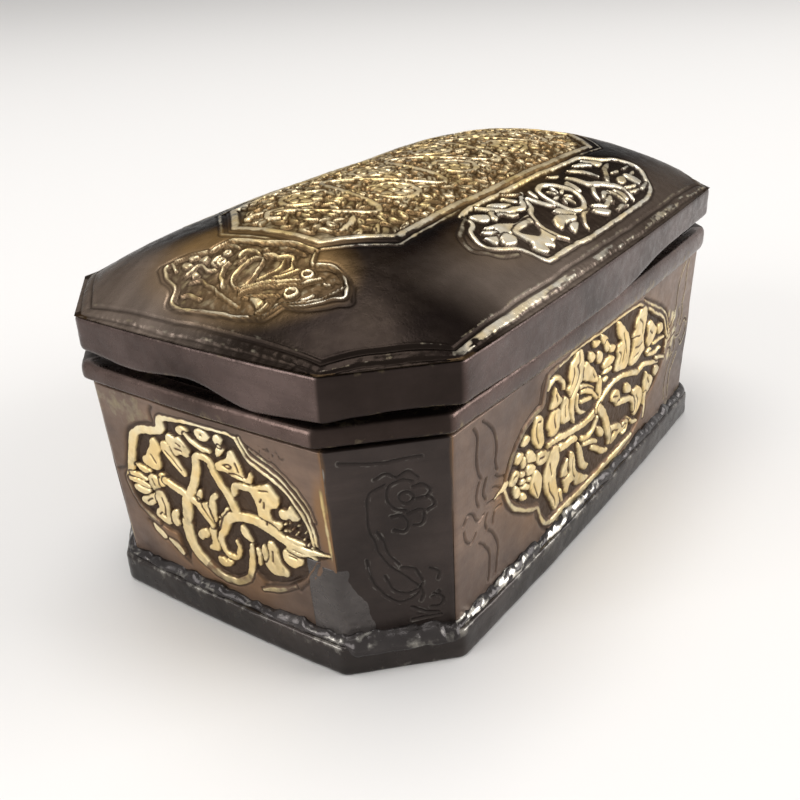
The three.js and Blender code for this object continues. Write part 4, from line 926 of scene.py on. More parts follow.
FRONT_SLOPE_SHAPES = [
    [(-32, -35.3), (-28.9, -35.8), (-25.8, -36.5), (-23.5, -37.5), (-20.5, -38), (-14, -37.7),
     (-12.6, -38.8), (-14, -39.8), (-20.5, -39.5), (-22.8, -40), (-24.5, -40.7), (-27.4, -40),
     (-28.9, -39.5), (-30.5, -39.8), (-32.8, -38.8), (-30.5, -37.7), (-28.9, -37.2), (-30.5, -36.3)],
    [(-35.9, -37.8), (-33.2, -38.5), (-32.2, -39.2), (-33.5, -40.2), (-35.3, -40.4)],
    [(-33, -41.2), (-31.6, -40), (-28.5, -39.6), (-26.8, -41.2), (-27.2, -42.3), (-28.9, -42.8),
     (-32, -42.1)],
    [(-25.4, -40.4), (-24.6, -39.8), (-21, -38.8), (-15, -38.9), (-13.8, -40.4), (-14.6, -43),
     (-13.2, -45), (-13, -47), (-15.1, -46.8), (-16.6, -47.1), (-18, -46.8), (-17.8, -48), (-18.9, -48.4),
     (-20.1, -47.5), (-21.6, -46.9), (-22, -48.4), (-23.5, -48.6), (-25.2, -47.5), (-26, -46),
     (-24, -44.6), (-25, -43)],
    [(-9.7, -45.1), (-8.3, -42.9), (-6, -41.7), (-3.3, -41.7), (1.5, -43.8), (0.2, -45), (-4.8, -44.4),
     (-8.3, -45.6)],
    [(-3.9, -40.4), (-1.8, -39.8), (0.6, -41.1), (3.4, -44), (-1, -42.5)],
    [(-6.6, -47.4), (-5.2, -45.6), (-3.3, -45.2), (-1.2, -46), (-4.5, -47.3)],
    [(10.3, -45.8), (12.1, -45.2), (14.8, -46.3), (17, -47.9), (14, -48.3)],
    [(12.3, -35.3), (14.8, -37.9), (16.9, -39), (17.8, -36.5), (17.3, -34), (15, -34.6)],
    [(43.3, -41.2), (45.5, -40.6), (46.8, -43.1), (46, -46), (43.7, -45.6)],
    [(-20, -29.8), (-16.4, -30.6), (-13, -33), (-16.6, -32.6)],
    [(-12.6, -29.6), (-10.4, -31), (-8.6, -33.2), (-11.6, -32.2)],
    [(-30.6, -30.4), (-27.4, -31.2), (-24.8, -33.4), (-27.6, -34.2), (-30.4, -32.8)],
    [(36.6, -42.2), (39.4, -40.2), (42, -41), (40, -43)],
    [(21.6, -42.8), (24.6, -41.8), (26, -43.4), (23, -46.2), (21, -45)],
    [(-22.6, -31.6), (-21, -33), (-24, -35.2), (-25.6, -34.4)],
    [(0.2, -31.2), (-0.6, -34), (-1.8, -34.6), (-1.4, -31.6)],
    [(36.8, -29.6), (41, -31.6), (43.6, -34), (39.4, -33.6)],
    [(30.4, -47.6), (31.6, -45), (29.6, -42.8), (28.6, -46.4)],
]
FRONT_SLOPE_RING = [
    (1.3, -36.5), (2.1, -33.5), (4.4, -31.9), (7.1, -31.5), (10.2, -32.7), (12.5, -35), (14, -37.7),
    (13.6, -40.4), (11.7, -42.3), (8.6, -43.5), (5.5, -43.1), (3.2, -42.3), (1.7, -39.6),
]
FRONT_SLOPE_HOLE = [
    (-23.9, -41), (-22, -40.2), (-18.5, -40), (-15.6, -40.2), (-15.2, -41), (-16, -42.3), (-17, -43.3),
    (-18.4, -43.9), (-20.1, -43.8), (-22, -42.7),
]
FRONT_SLOPE_FLOWER = (7.4, -37.4)
SLOPE_SPREAD = -0.06
FRONT_SLOPE_SPREAD = 0.07
SLOPE_POLISH = 0.74
SLOPE_GLOW = ((78, 0), (20, 32))
PANEL_GLOW = ((0, 0), (82, 34))
SIDE_SLOPE_GLOW = ((0, 39), (60, 15))

# The flat panel: its border, its field of leaves, its vine, and the scrolls in the vine's bends
PANEL_LOOP = [
    (-66.5, 12.5), (-66.5, -12.5), (-53.5, -25), (53.5, -25),
    (66.5, -12.5), (66.5, 12.5), (53.5, 25), (-53.5, 25),
]
PANEL_SPREAD = 0.06
PANEL_RAGGED = 0.03
PANEL_SOFT = 0.26
LEAF_SPACING = 3.3
LEAF_ENDS = 63.4
LEAF_CUT = 75
VINE_RISE = 14.175
VINE_BEND = 15
SCROLL_PLACE = 8.4
SCROLL_REACH = 6.8
SCROLL_STEPS = 14
SCROLL_TURN = 0.42
BORDER_HOOKS = [
    [(-59.6, 5, 0.9), (-60, 8, 1.2), (-57, 10.6, 1.2), (-53.6, 8.6, 1)],
    [(-59.6, -13.6, 0.9), (-56.4, -13.2, 1.3), (-53.6, -12.5, 1.3), (-51.4, -11.4, 1)],
]


def turned(points, half):
    """The points, turned half round the lid's middle when half is -1."""
    return [(half * p[0], half * p[1], *p[2:]) for p in points]


def straight(corners):
    """A closed outline whose sides stay straight: points along each side."""
    out = []
    for (ax, ay), (bx, by) in zip(corners, corners[1:] + corners[:1]):
        count = max(2, int(math.hypot(bx - ax, by - ay) / 2))
        out += [(ax + (bx - ax) * k / count, ay + (by - ay) * k / count) for k in range(count)]
    return out


def rosette(face, x, y, size, turn, petals):
    """A flower of short leaves round a pierced dot."""
    for k in range(petals):
        angle = turn + 2 * math.pi * k / petals
        start, end = polar(x, y, size * 0.26, angle), polar(x, y, size, angle)
        face.leaf(start, end, size * 0.62, 0.1, 0.6, polish=0.8)
    face.ring((x, y), size * 0.2, size * 0.24)


def scroll(face, x, y, size, turn, hand, count):
    """A stem coiled round a rosette, with leaves off its back."""
    points = []
    for k in range(SCROLL_STEPS):
        place = polar(x, y, size * (1.02 - 0.017 * k), turn + hand * k * SCROLL_TURN)
        points.append((*place, 0.8 + 0.9 * math.sin(math.pi * (k + 1) / (SCROLL_STEPS + 1))))
    face.stroke(points, polish=0.85)
    rosette(face, x, y, size * 0.66, turn + 0.3, count)
    for k in range(1, SCROLL_STEPS, 2):
        angle = turn + hand * k * SCROLL_TURN
        start = polar(x, y, size * 1.12, angle)
        end = polar(*start, size * (0.42 + 0.1 * math.sin(3 * k)), angle + hand * 0.8)
        face.leaf(start, end, size * 0.26, 0.16 * hand, vein=0.4, polish=0.8)


def carve_leaf_field(face):
    """Rows of small leaves that lean this way and that."""
    for row in range(-7, 8):
        for k in range(-20, 21):
            x = LEAF_SPACING * k + (LEAF_SPACING / 2 if row % 2 else 0) + 0.6 * math.sin(5.1 * k + 2.3 * row)
            y = LEAF_SPACING * row + 0.5 * math.sin(3.7 * k - 1.9 * row)
            if abs(x) > LEAF_ENDS or abs(x) + abs(y) > LEAF_CUT:
                continue
            angle = 0.1 * x + 0.16 * y + 0.9 * math.sin(1.7 * k + 2.9 * row)
            size = 1.9 + 0.4 * math.sin(2.7 * k + row)
            start, end = polar(x, y, size, angle), polar(x, y, -size, angle)
            width, bend = 1.5 + 0.3 * math.sin(k), 0.16 * math.sin(2.2 * k + row)
            face.leaf(start, end, width, bend, vein=0.3, polish=0.62 + 0.16 * math.sin(4.3 * k + 3.1 * row))


def carve_panel(face):
    face.spread, face.ragged, face.soft = PANEL_SPREAD, PANEL_RAGGED, PANEL_SOFT
    face.hollow(straight(PANEL_LOOP), LID_GROUND_DEPTH, 0.34)
    carve_leaf_field(face)
    for k in range(1, 8):
        side = 1 if k % 2 else -1
        x = VINE_BEND * (k - 4)
        scroll(face, x, SCROLL_PLACE * side, SCROLL_REACH, -1.2 * side + 0.3 * k, side, 6 + k % 2)
    vine = []
    for x in range(-61, 62, 2):
        vine.append((x, VINE_RISE * math.cos(math.pi * (x + 60) / VINE_BEND), 1.3 + 0.3 * math.sin(x)))
    face.stroke(vine, polish=0.85)
    for half in (1, -1):
        for hook in BORDER_HOOKS:
            face.stroke([(half * x, y, width) for x, y, width in hook])
    face.stroke(with_width(straight(PANEL_LOOP), 1.6), 0.1, 0.76, True)
    face.groove(straight([(x * 1.03, y * 1.062) for x, y in PANEL_LOOP]), 0.42, 0.4, True)
    rim = [(x * 1.052, y * 1.1) for x, y in straight(PANEL_LOOP)]
    face.stroke(with_width(rim, 0.7), BAND_TOP, 0.6, True)


def carve_left_slope(face, half):
    """The cartouche on the left slope, or turned half round on the right one."""
    loop = turned(LEFT_SLOPE_LOOP, half)
    face.hollow(loop, LID_GROUND_DEPTH, 0.26)
    face.spread = SLOPE_SPREAD
    face.stroke(with_width(loop, 0.8), BAND_TOP, SLOPE_POLISH, True)
    face.groove([(x * 1.012 + half * 0.1, y * 1.09) for x, y in loop], 0.3, 0.25, True)
    for shape in LEFT_SLOPE_SHAPES:
        face.island(turned(shape, half), 0.7)
    face.strokes([(polish, turned(line, half)) for polish, line in LEFT_SLOPE_STEMS], shine=0.76)
    for (x, y), radius in LEFT_SLOPE_RINGS:
        face.ring((half * x, half * y), radius, 0.6)


def carve_front_slope(face, half):
    """The cartouche on the front slope, or turned half round on the back one."""
    face.spread = FRONT_SLOPE_SPREAD
    loop = turned(FRONT_SLOPE_LOOP, half)
    face.hollow(loop, LID_GROUND_DEPTH)
    face.stroke(with_width(loop, 1), BAND_TOP, closed=True)
    face.groove([(x * 1.02, y + half * (0.9 if abs(y) < 39 else -0.9)) for x, y in loop], 0.3, 0.25, True)
    for shape in FRONT_SLOPE_SHAPES:
        face.island(turned(shape, half), 0.9)
    face.hollow(turned(FRONT_SLOPE_HOLE, half), HOLE_DEPTH)
    for polish, line in FRONT_SLOPE_STEMS:
        face.stroke(turned(line, half), polish=0.93 * polish)
    face.stroke(with_width(turned(FRONT_SLOPE_RING, half), 1.3), closed=True)
    x, y = FRONT_SLOPE_FLOWER
    for k in range(7):
        angle = 0.4 + 0.9 * k
        start, end = polar(half * x, half * y, 1.2, angle), polar(half * x, half * y, 4.2, angle)
        face.leaf(start, end, 1, polish=0.75)


def carve_lid_edge(face, inset):
    """Two raised and two cut lines along the lid's edge. The raised ones are worn to silver in places."""
    gap = inset + 0.25 * face.noise(6, 30)
    side = 0.5 + 0.5 * smooth(abs(face.h), 44, 52)
    inner = ridge(gap - 4.3, 0.35)
    groove = ridge(gap - 3.5, 0.38) + 0.8 * ridge(gap - 0.9, 0.32)
    band = smooth(gap, 1.2, 1.5) * smooth(gap, 3.1, 2.8)
    lumps = face.noise(1.1, 31) + 0.5 * face.noise(0.6, 32)
    face.relief += 0.15 * inner - 0.42 * groove + 0.1 * band + 0.1 * smooth(gap, 3, 2.6) * lumps
    face.sink(0.9 * np.clip(groove, 0, 1))
    broken = smooth(face.noise(9, 33) + 0.4 * side, -0.4, 0.4)
    face.wear(0.4 * inner * broken * (0.3 + 0.7 * side))
    along = np.where(abs(face.h) > 45, -face.s * np.sign(face.h), 0)
    nearer = smooth(along, 10, -40)
    flaked = noise(face.s * 0.16, gap * 1.2, 1, face.seed + 34)
    flaked += 0.5 * noise(face.s * 0.5, gap * 1.6, 1, face.seed + 35) + 0.9 * nearer - 0.3
    flaked = smooth(flaked, -0.5, 0.1) * smooth(along, -82, -70)
    face.wear((0.5 + 0.2 * nearer) * band * flaked * side)
    face.brown = np.where((gap < 4.6) & (face.worn < 0.1), np.minimum(face.brown, 0.1), face.brown)


def carve_lid(face, inset):
    carve_panel(face)
    for half in (1, -1):
        carve_left_slope(face, half)
        carve_front_slope(face, half)
    face.tint(patch(abs(face.s), face.h, *SLOPE_GLOW, 0.5))
    face.tint(patch(face.s, face.h, *PANEL_GLOW, 0.2))
    face.tint(0.18 * patch(face.s, abs(face.h), *SIDE_SLOPE_GLOW, 0.4))
    carve_lid_edge(face, inset)


# Materials


class Nodes:
    """The nodes of a material or a world. add gives a new node, the others a new node's output."""

    def __init__(self, owner):
        owner.use_nodes = True
        self.tree = owner.node_tree

    def feed(self, socket, value):
        """Sets a socket to a number or a colour, or links an output to it."""
        if isinstance(value, tuple):
            socket.default_value = (*value, 1)
        elif isinstance(value, (int, float)):
            socket.default_value = value
        else:
            self.tree.links.new(value, socket)

    def add(self, kind, **settings):
        node = self.tree.nodes.new("ShaderNode" + kind)
        for word, value in settings.items():
            setattr(node, word, value)
        return node

    def attribute(self, name):
        return self.add("Attribute", attribute_name=name).outputs["Fac"]

    def textured(self, scale, detail=4.0, rough=0.55, stretch=(1, 1, 1)):
        """Noise over the object's own space: scale is lumps to a metre."""
        mapping = self.add("Mapping")
        mapping.inputs["Scale"].default_value = stretch
        self.feed(mapping.inputs["Vector"], self.add("TexCoord").outputs["Object"])
        node = self.add("TexNoise")
        self.feed(node.inputs["Vector"], mapping.outputs["Vector"])
        for word, value in (("Scale", scale), ("Detail", detail), ("Roughness", rough)):
            self.feed(node.inputs[word], value)
        return node.outputs["Fac"]

    def ranged(self, value, low, high, to_low=0.0, to_high=1.0):
        node = self.add("MapRange")
        words = ("Value", "From Min", "From Max", "To Min", "To Max")
        for word, given in zip(words, (value, low, high, to_low, to_high)):
            self.feed(node.inputs[word], given)
        return node.outputs["Result"]

    def maths(self, operation, first, second):
        node = self.add("Math", operation=operation, use_clamp=True)
        self.feed(node.inputs[0], first)
        self.feed(node.inputs[1], second)
        return node.outputs[0]

    def mixed(self, factor, first, second, blend="MIX"):
        node = self.add("Mix", data_type="RGBA", blend_type=blend)
        self.feed(node.inputs["Factor"], factor)
        self.feed(node.inputs[6], first)
        self.feed(node.inputs[7], second)
        return node.outputs[2]


BUMP_STRENGTH = 0.35
BUMP_HEIGHT = 0.0003
# The dark of sunk places, also used as painted shade.
SUNK_OR_SHADE_TINT = (0.014, 0.010, 0.008)


def brass(name, dark, plain, warm, bright, golden, gloss=0.36, shine=0.5, metal=0.6, rim=1.0, soft=None):
    """Patina over brass, worn through to metal where the mesh says so."""
    material = bpy.data.materials.new(name)
    nodes = Nodes(material)
    shader = nodes.tree.nodes["Principled BSDF"]
    worn, sunk_or_shaded, brown = (nodes.attribute(word) for word in ("worn", "sunk_or_shaded", "brown"))
    cloud = nodes.textured(45, 5)
    blotch = nodes.textured(110, 3)
    streak = nodes.textured(160, 5, 0.6, (0.35, 0.35, 2.6))
    grain = nodes.textured(420, 4)
    speck = nodes.textured(1300, 3, 0.6)

    patina = nodes.mixed(nodes.ranged(cloud, 0.32, 0.68), dark, plain)
    patina = nodes.mixed(nodes.ranged(streak, 0.45, 0.75, 0, 0.35), patina, dark)
    # The soft colour is a lighter patina laid on where the mesh asks for it: painted highlight.
    if soft:
        patina = nodes.mixed(nodes.attribute("rubbed_and_sheen"), patina, soft)
    glow = nodes.maths("MULTIPLY", brown, nodes.ranged(cloud, 0.25, 0.75, 0.35, 1.0))
    patina = nodes.mixed(glow, patina, warm)
    # Darker where sunk, and painted shade where a face is marked as shaded.
    patina = nodes.mixed(nodes.maths("MULTIPLY", sunk_or_shaded, 0.75), patina, SUNK_OR_SHADE_TINT)

    gold = nodes.maths("ADD", nodes.ranged(blotch, 0.44, 0.64, 0, 0.5), nodes.maths("MULTIPLY", brown, 0.6))
    lit = nodes.mixed(gold, bright, golden)
    lit = nodes.mixed(nodes.ranged(grain, 0.35, 0.65, 0, 0.4), lit, tuple(0.7 * c for c in golden))
    lit = nodes.mixed(1.0, lit, nodes.ranged(worn, 0.3, 0.85, 0.36, 1), "MULTIPLY")

    patchy = nodes.maths("ADD", worn, nodes.ranged(grain, 0.3, 0.7, -0.3, 0.15))
    share = nodes.maths("MULTIPLY", nodes.ranged(patchy, 0.18, 0.5), nodes.ranged(worn, 0.02, 0.2))
    nodes.feed(shader.inputs["Base Color"], nodes.mixed(share, patina, lit))
    nodes.feed(shader.inputs["Metallic"], nodes.ranged(share, 0, 1, metal, 0.95))
    base = nodes.ranged(grain, 0.3, 0.7, gloss - 0.07, gloss + 0.09)
    nodes.feed(shader.inputs["Roughness"], nodes.maths("ADD", base, nodes.maths("MULTIPLY", sunk_or_shaded, 0.2)))
    shader.inputs["Specular IOR Level"].default_value = shine
    shader.inputs["Specular Tint"].default_value = (rim, rim, rim, 1)

    bump = nodes.add("Bump")
    bump.inputs["Strength"].default_value = BUMP_STRENGTH
    bump.inputs["Distance"].default_value = BUMP_HEIGHT
    height = nodes.maths("ADD", nodes.maths("MULTIPLY", speck, 0.4), nodes.maths("MULTIPLY", grain, 0.6))
    nodes.feed(bump.inputs["Height"], height)
    nodes.feed(shader.inputs["Normal"], bump.outputs["Normal"])
    return material


GOLD = (0.93, 0.70, 0.33)
STEEL = (0.50, 0.46, 0.40)
SOLDER_GLOW = (0.16, 0.11, 0.06)
WALL_BRASS = brass(
    "wall_brass", (0.074, 0.049, 0.039), (0.220, 0.146, 0.105), (0.25, 0.13, 0.05), (1.0, 0.92, 0.66), GOLD
)
# Painted shade: the cut-corner walls get a darker patina than the other walls.
SHADED_CORNER_BRASS = brass(
    "corner_brass_painted_shade", (0.018, 0.012, 0.010), (0.050, 0.036, 0.031), (0.13, 0.07, 0.03), (0.56, 0.53, 0.48),
    STEEL
)
# The lid's very dark patina is painted shade for its cut corners. Its soft colour, laid on by the mesh, is
# painted highlight on its slopes.
LID_BRASS = brass(
    "lid_brass", (0.005, 0.003, 0.003), (0.017, 0.012, 0.009), (0.34, 0.21, 0.09), (0.86, 0.82, 0.72), GOLD,
    gloss=0.27, shine=0.2, metal=0.92, rim=0.35, soft=(0.21, 0.165, 0.135)
)
FOOT_BRASS = brass(
    "foot_brass", (0.010, 0.008, 0.007), (0.048, 0.038, 0.034), (0.10, 0.06, 0.03), (0.70, 0.66, 0.60), STEEL,
    gloss=0.22
)
RIM_BRASS = brass(
    "rim_brass", (0.045, 0.031, 0.027), (0.115, 0.082, 0.074), (0.17, 0.10, 0.07), (0.62, 0.54, 0.42), GOLD,
    gloss=0.28, shine=0.35, metal=0.9
)
BRAZING = brass(
    "brazing", (0.012, 0.009, 0.009), (0.052, 0.045, 0.043), SOLDER_GLOW, (0.84, 0.80, 0.72), STEEL,
    gloss=0.2
)
SMEAR = brass(
    "smeared_brazing", (0.040, 0.035, 0.033), (0.118, 0.104, 0.098), SOLDER_GLOW, (0.60, 0.57, 0.52), STEEL,
    gloss=0.3
)


# Pieces


def piece(name, points, faces, values, uvs, body, stands_for, material):
    """A mesh in place of CAD nodes, from points in millimetres. uvs places each corner of each face."""
    mesh = bpy.data.meshes.new(name)
    if body == "lid":
        c, s = math.cos(LID_TWIST), math.sin(LID_TWIST)
        x, y = points[:, 0].copy(), points[:, 1].copy()
        points[:, 0] = x * c - y * s
        points[:, 1] = x * s + y * c + LID_SHIFT
    mesh.from_pydata((points / 1000).tolist(), [], faces)
    for word, value in values.items():
        layer = mesh.attributes.new(word, "FLOAT", "POINT")
        layer.data.foreach_set("value", np.clip(value, 0, 1).astype(np.float32).ravel())
    layer = mesh.uv_layers.new(name="OFBake")
    layer.data.foreach_set("uv", np.concatenate(uvs).astype(np.float32).ravel())
    mesh.polygons.foreach_set("use_smooth", np.ones(len(mesh.polygons), bool))
    mesh.materials.append(material)
    mesh.update()
    found = bpy.data.objects.new(name, mesh)
    bpy.context.scene.collection.objects.link(found)
    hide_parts(*stands_for)
    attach(found, body)


def lattice(rows, columns, first=0, wrap=False):
    """Quads over a grid of points, and the share of the way along and up at each of their corners."""
    j, i = np.meshgrid(np.arange(rows - 1), np.arange(columns if wrap else columns - 1), indexing="ij")
    j, i = j.ravel(), i.ravel()
    k = (i + 1) % columns
    low, high = j * columns + first, (j + 1) * columns + first
    quads = np.stack([low + i, low + k, high + k, high + i], 1)
    u = np.stack([i, i + 1, i + 1, i], 1) / max(columns if wrap else columns - 1, 1)
    v = np.stack([j, j, j + 1, j + 1], 1) / (rows - 1)
    return quads, np.stack([u, v], 2)


def turned_over(quads, uv):
    """The same quads seen from their other side."""
    return quads[:, ::-1], uv[:, ::-1]


def placed(uv, size, corner_at=(0, 0)):
    """The faces' places on the bake, shrunk and moved to their own part of it, one for each corner."""
    return (uv * size + corner_at).reshape(-1, 2)


def border(rows, columns):
    """The numbers of a grid's outer points, all round."""
    number = np.arange(rows * columns).reshape(rows, columns)
    return np.concatenate([number[0, :-1], number[:-1, -1], number[-1, :0:-1], number[:0:-1, 0]])


def skirting(upper, lower):
    """Quads between two loops of point numbers, seen from outside."""
    return np.stack([upper, np.roll(upper, -1), np.roll(lower, -1), lower], 1)[:, ::-1]


def readings(face, hidden, hidden_darkening):
    """What the material reads at each point of a face, and at the hidden points behind it, which are darker
    by a set amount.
    """
    pad = np.zeros(hidden)
    return {
        "worn": np.concatenate([face.worn.ravel(), pad]),
        "sunk_or_shaded": np.concatenate([face.sunk_or_shaded.ravel(), pad + hidden_darkening]),
        "brown": np.concatenate([face.brown.ravel(), pad + 0.2]),
    }


def wall_panel(name, edge, step, carve, seed, hand=1, material=WALL_BRASS):
    """One wall from its foot to under the rim: a carved face, and a plain one inside the box."""
    length = edge_of(WALL_HIGH, edge)[3]
    columns, rows = int(length / step) + 1, int(WALL_HEIGHT / step) + 1
    t = np.linspace(0, 1, columns)
    heights = np.linspace(0, WALL_HEIGHT, rows)
    xy, normal = np.empty((2, rows, columns, 2))
    s = np.empty((rows, columns))
    for j, height in enumerate(heights):
        xy[j], normal[j] = outline(wall_shape(height), edge, t, WALL_ROUND)
        s[j] = (t - 0.5) * edge_of(wall_shape(height), edge)[3]
    h = np.tile(heights[:, None], columns)
    face = Face(hand * s, h, seed)
    carve(face)
    wear_wall(face, s, length / 2 - abs(s))
    xy += normal * face.relief[..., None]
    outer = np.concatenate([xy, (FOOT_HEIGHT + h)[..., None]], 2).reshape(-1, 3)
    inner = []
    for height in (0, WALL_HEIGHT):
        back = outline(grown(wall_shape(height), -WALL_THICKNESS), edge, t, INNER_ROUND)[0]
        inner.append(np.concatenate([back, np.full((columns, 1), FOOT_HEIGHT + height)], 1))
    first, last = rows * columns, (rows - 1) * columns
    front, front_uv = lattice(rows, columns)
    rear, rear_uv = turned_over(*lattice(2, columns, first))
    along = np.arange(columns - 1)
    foot = np.stack([first + along, first + along + 1, along + 1, along], 1)
    top_in = first + columns + along
    head = np.stack([last + along, last + along + 1, top_in + 1, top_in], 1)
    upright = [j * columns for j in range(rows)]
    left = [first] + upright + [first + columns]
    right = [first + 2 * columns - 1] + [j + columns - 1 for j in upright[::-1]] + [first + columns - 1]
    uvs = [
        placed(front_uv, (1, 0.8)), placed(rear_uv, (1, 0.1), (0, 0.82)),
        placed(rear_uv, (1, 0.02), (0, 0.95)), placed(rear_uv, (1, 0.01), (0, 0.98)),
        np.full((len(left) + len(right), 2), 0.94),
    ]
    faces = np.concatenate([front, rear, foot, head]).tolist() + [left, right]
    points = np.concatenate([outer, *inner])
    values = readings(face, 2 * columns, 0.5)
    piece(name, points, faces, values, uvs, "box", ["body_wall"], material)


def wear_wall(face, s, gap):
    """Hand-made unevenness, and wear down to brass and brown along the wall's upright edges."""
    face.relief += 0.22 * noise(s, face.h, 13, face.seed + 20) + 0.05 * noise(s, face.h, 3.1, face.seed + 21)
    face.relief *= smooth(gap, 0, 1.2)
    edge_wear = smooth(0.9 - gap + 0.3 * noise(s, face.h, 4, 77), 0, 0.8)
    face.wear(0.5 * edge_wear * smooth(noise(s, face.h, 9, 78), -0.1, 0.5))
    face.tint(0.8 * edge_wear)


def stations(step):
    """Edge number and share along it, for points all round the box."""
    edges, shares = [], []
    for edge in range(8):
        count = max(8, int(edge_of(FOOT, edge)[3] / step))
        edges.append(np.full(count, edge))
        shares.append(np.arange(count) / count)
    return np.concatenate(edges), np.concatenate(shares)


def around(table, edges, shares):
    """A value for each station, eased between the four places given on each edge."""
    knots = np.array(table, float).ravel()
    place = (edges + shares) * 4
    low = np.floor(place).astype(int)
    share = smooth(place - low)
    return knots[low % 32] * (1 - share) + knots[(low + 1) % 32] * share


PROFILE_STEP = 0.55
PROFILE_PASSES = 2


def rounded(rows, closed):
    """Profile rows with steps put between them and corners eased. Each is an octagon, a height and a wear."""
    rows = np.array(rows, float)
    following = np.roll(rows, -1, 0) if closed else rows[1:]
    out = []
    for a, b in zip(rows, following):
        count = max(1, int(np.hypot(np.abs(b[:2] - a[:2]).mean(), b[3] - a[3]) / PROFILE_STEP))
        out.append(a + (b - a) * np.arange(count)[:, None] / count)
    if not closed:
        out.append(rows[-1:])
    rows = np.concatenate(out)
    for _ in range(PROFILE_PASSES):
        if closed:
            rows = (np.roll(rows, 1, 0) + 2 * rows + np.roll(rows, -1, 0)) / 4
        else:
            rows[1:-1] = (rows[:-2] + 2 * rows[1:-1] + rows[2:]) / 4
    return rows


def ring_uvs(uv, edges):
    """Each edge of the box has its own strip of the bake."""
    count = len(edges)
    edge = edges[np.floor(uv[:, 0, 0] * count + 0.5).astype(int)]
    first = np.array([np.argmax(edges == number) for number in range(8)])
    length = np.array([(edges == number).sum() for number in range(8)])
    u = (uv[..., 0] * count - first[edge][:, None]) / length[edge][:, None]
    v = (edge[:, None] + 0.02 + 0.94 * uv[..., 1]) / 8
    return np.stack([u, v], 2).reshape(-1, 2)


def ring_piece(name, profile, body, stands_for, material, closed=True, bend=None, rough=0.08, seed=1,
               step=0.9, brown=0.0, corner_shade=0.0, wear=(1, 1, 1, 1, 1, 1, 1, 1), flecked=False):
    """A band round the box. A profile row is an octagon, a height and how worn it is, from outside below."""
    rows = rounded([(*shape, z, worn) for shape, z, worn in profile], closed)
    edges, shares = stations(step)
    count = len(edges)
    points = np.empty((len(rows), count, 3))
    normals = np.zeros((len(rows), count, 2))
    for k, row in enumerate(rows):
        for edge in range(8):
            here = edges == edge
            points[k, here, :2], normals[k, here] = outline(tuple(row[:3]), edge, shares[here], RING_ROUND)
        points[k, :, 2] = row[3]
    if bend:
        bend(points, edges, shares, normals)
    along = np.arange(count) * step
    up = np.concatenate([[0], np.cumsum(np.hypot(np.diff(rows[:, 0]), np.diff(rows[:, 3])))])
    u, v = np.meshgrid(along, up)
    seam = smooth(np.minimum(u, count * step - u), 0, 6)
    lumps = rough * (noise(u, v, 5.3, seed) + 0.6 * noise(u, v, 1.7, seed + 1)) * seam
    points[..., :2] += normals * lumps[..., None]
    points[..., 2] += 0.5 * lumps * (noise(u, v, 7, seed + 2) > 0)
    worn = rows[:, 4:5] * (0.55 + 0.6 * smooth(noise(u, v, 6, seed + 3), -0.7, 0.7))
    worn *= np.array(wear)[edges]
    if flecked:
        worn *= np.where(edges % 4 == 1, 0.2 + smooth(shares, 0.6, 0.4), 1)
        worn *= 0.3 + 1.5 * smooth(noise(u, 2 * v, 1.5, seed + 4), -0.1, 0.5)
    # Painted shade: the cut-corner faces are darker.
    sunk_or_shaded = np.tile(corner_shade * (edges % 2 == 0), (len(rows), 1))
    values = {"worn": worn, "sunk_or_shaded": sunk_or_shaded, "brown": np.full(worn.shape, brown)}
    quads, uv = lattice(len(rows) + int(closed), count, wrap=True)
    faces = (quads % (len(rows) * count)).tolist()
    uvs = [ring_uvs(uv, edges)]
    if not closed:
        last = (len(rows) - 1) * count
        faces += [list(range(count))[::-1], list(range(last, last + count))]
        uvs.append(np.full((2 * count, 2), 0.999))
    piece(name, points.reshape(-1, 3), faces, values, uvs, body, stands_for, material)


def dome_height(x, y):
    a, b, c = SKIRT
    along = np.clip(abs(x) / a, 0, 1) ** DOME_ALONG
    across = np.clip(abs(y) / b, 0, 1) ** DOME_ACROSS
    cut = np.clip((abs(x) + abs(y)) / (a + b - c), 0, 1) ** DOME_CORNER
    return SKIRT_TOP + DOME_RISE * (1 - along) * (1 - across) * (1 - cut)


def bowed(x, y):
    """Points of the plain octagon's lid, moved out to its bowed sides."""
    a, b, c = SKIRT
    out_x = BOW_ENDS * np.clip(1 - (y / (b - c)) ** 2, 0, 1) * x / a
    out_y = BOW_SIDES * np.clip(1 - (x / (a - c)) ** 2, 0, 1) * y / b
    return x + out_x, y + out_y


def painted_sheen_slopes(x0, y0, x, y, seed):
    """Painted highlight: how far the patina is lightened, on the left slope's far part and on the front
    slope.
    """
    a, b = SKIRT[:2]
    leftward, along = -y0 * np.sign(x0), -x0 * np.sign(y0)
    left = smooth(abs(x0) / a, 0.68, 0.84) * smooth(leftward + 3 * noise(x, y, 9, seed + 22), -16, 12)
    front = smooth(abs(y0) / b, 0.5, 0.86) * smooth(along + 3 * noise(x, y, 9, seed + 23), -70, -50)
    rubbed_and_sheen = np.maximum(left, front * (1 - 0.4 * smooth(along, -30, 20)))
    streaks = noise(x * 0.4 + y, y * 2 - x * 0.3, 7, seed + 24)
    return 0.03 + 0.97 * np.clip(rubbed_and_sheen * (0.85 + 0.2 * streaks), 0, 1)


UNDER_SHARES = (0.968, 0.93, 0.86, 0.75, 0.6, 0.42, 0.22, 0.06)


def dome_underside(x0, y0):
    """Rings of points under the dome, from its edge inwards."""
    under = []
    for share in (1.0, *UNDER_SHARES):
        x, y = x0 * share, y0 * share
        low = np.maximum(dome_height(x, y) - DOME_THICKNESS, SKIRT_TOP + 0.02)
        if share == 1.0:
            low = np.full(len(x0), SKIRT_TOP + 0.02)
        under.append(np.stack([*bowed(x, y), low], 1))
    return under


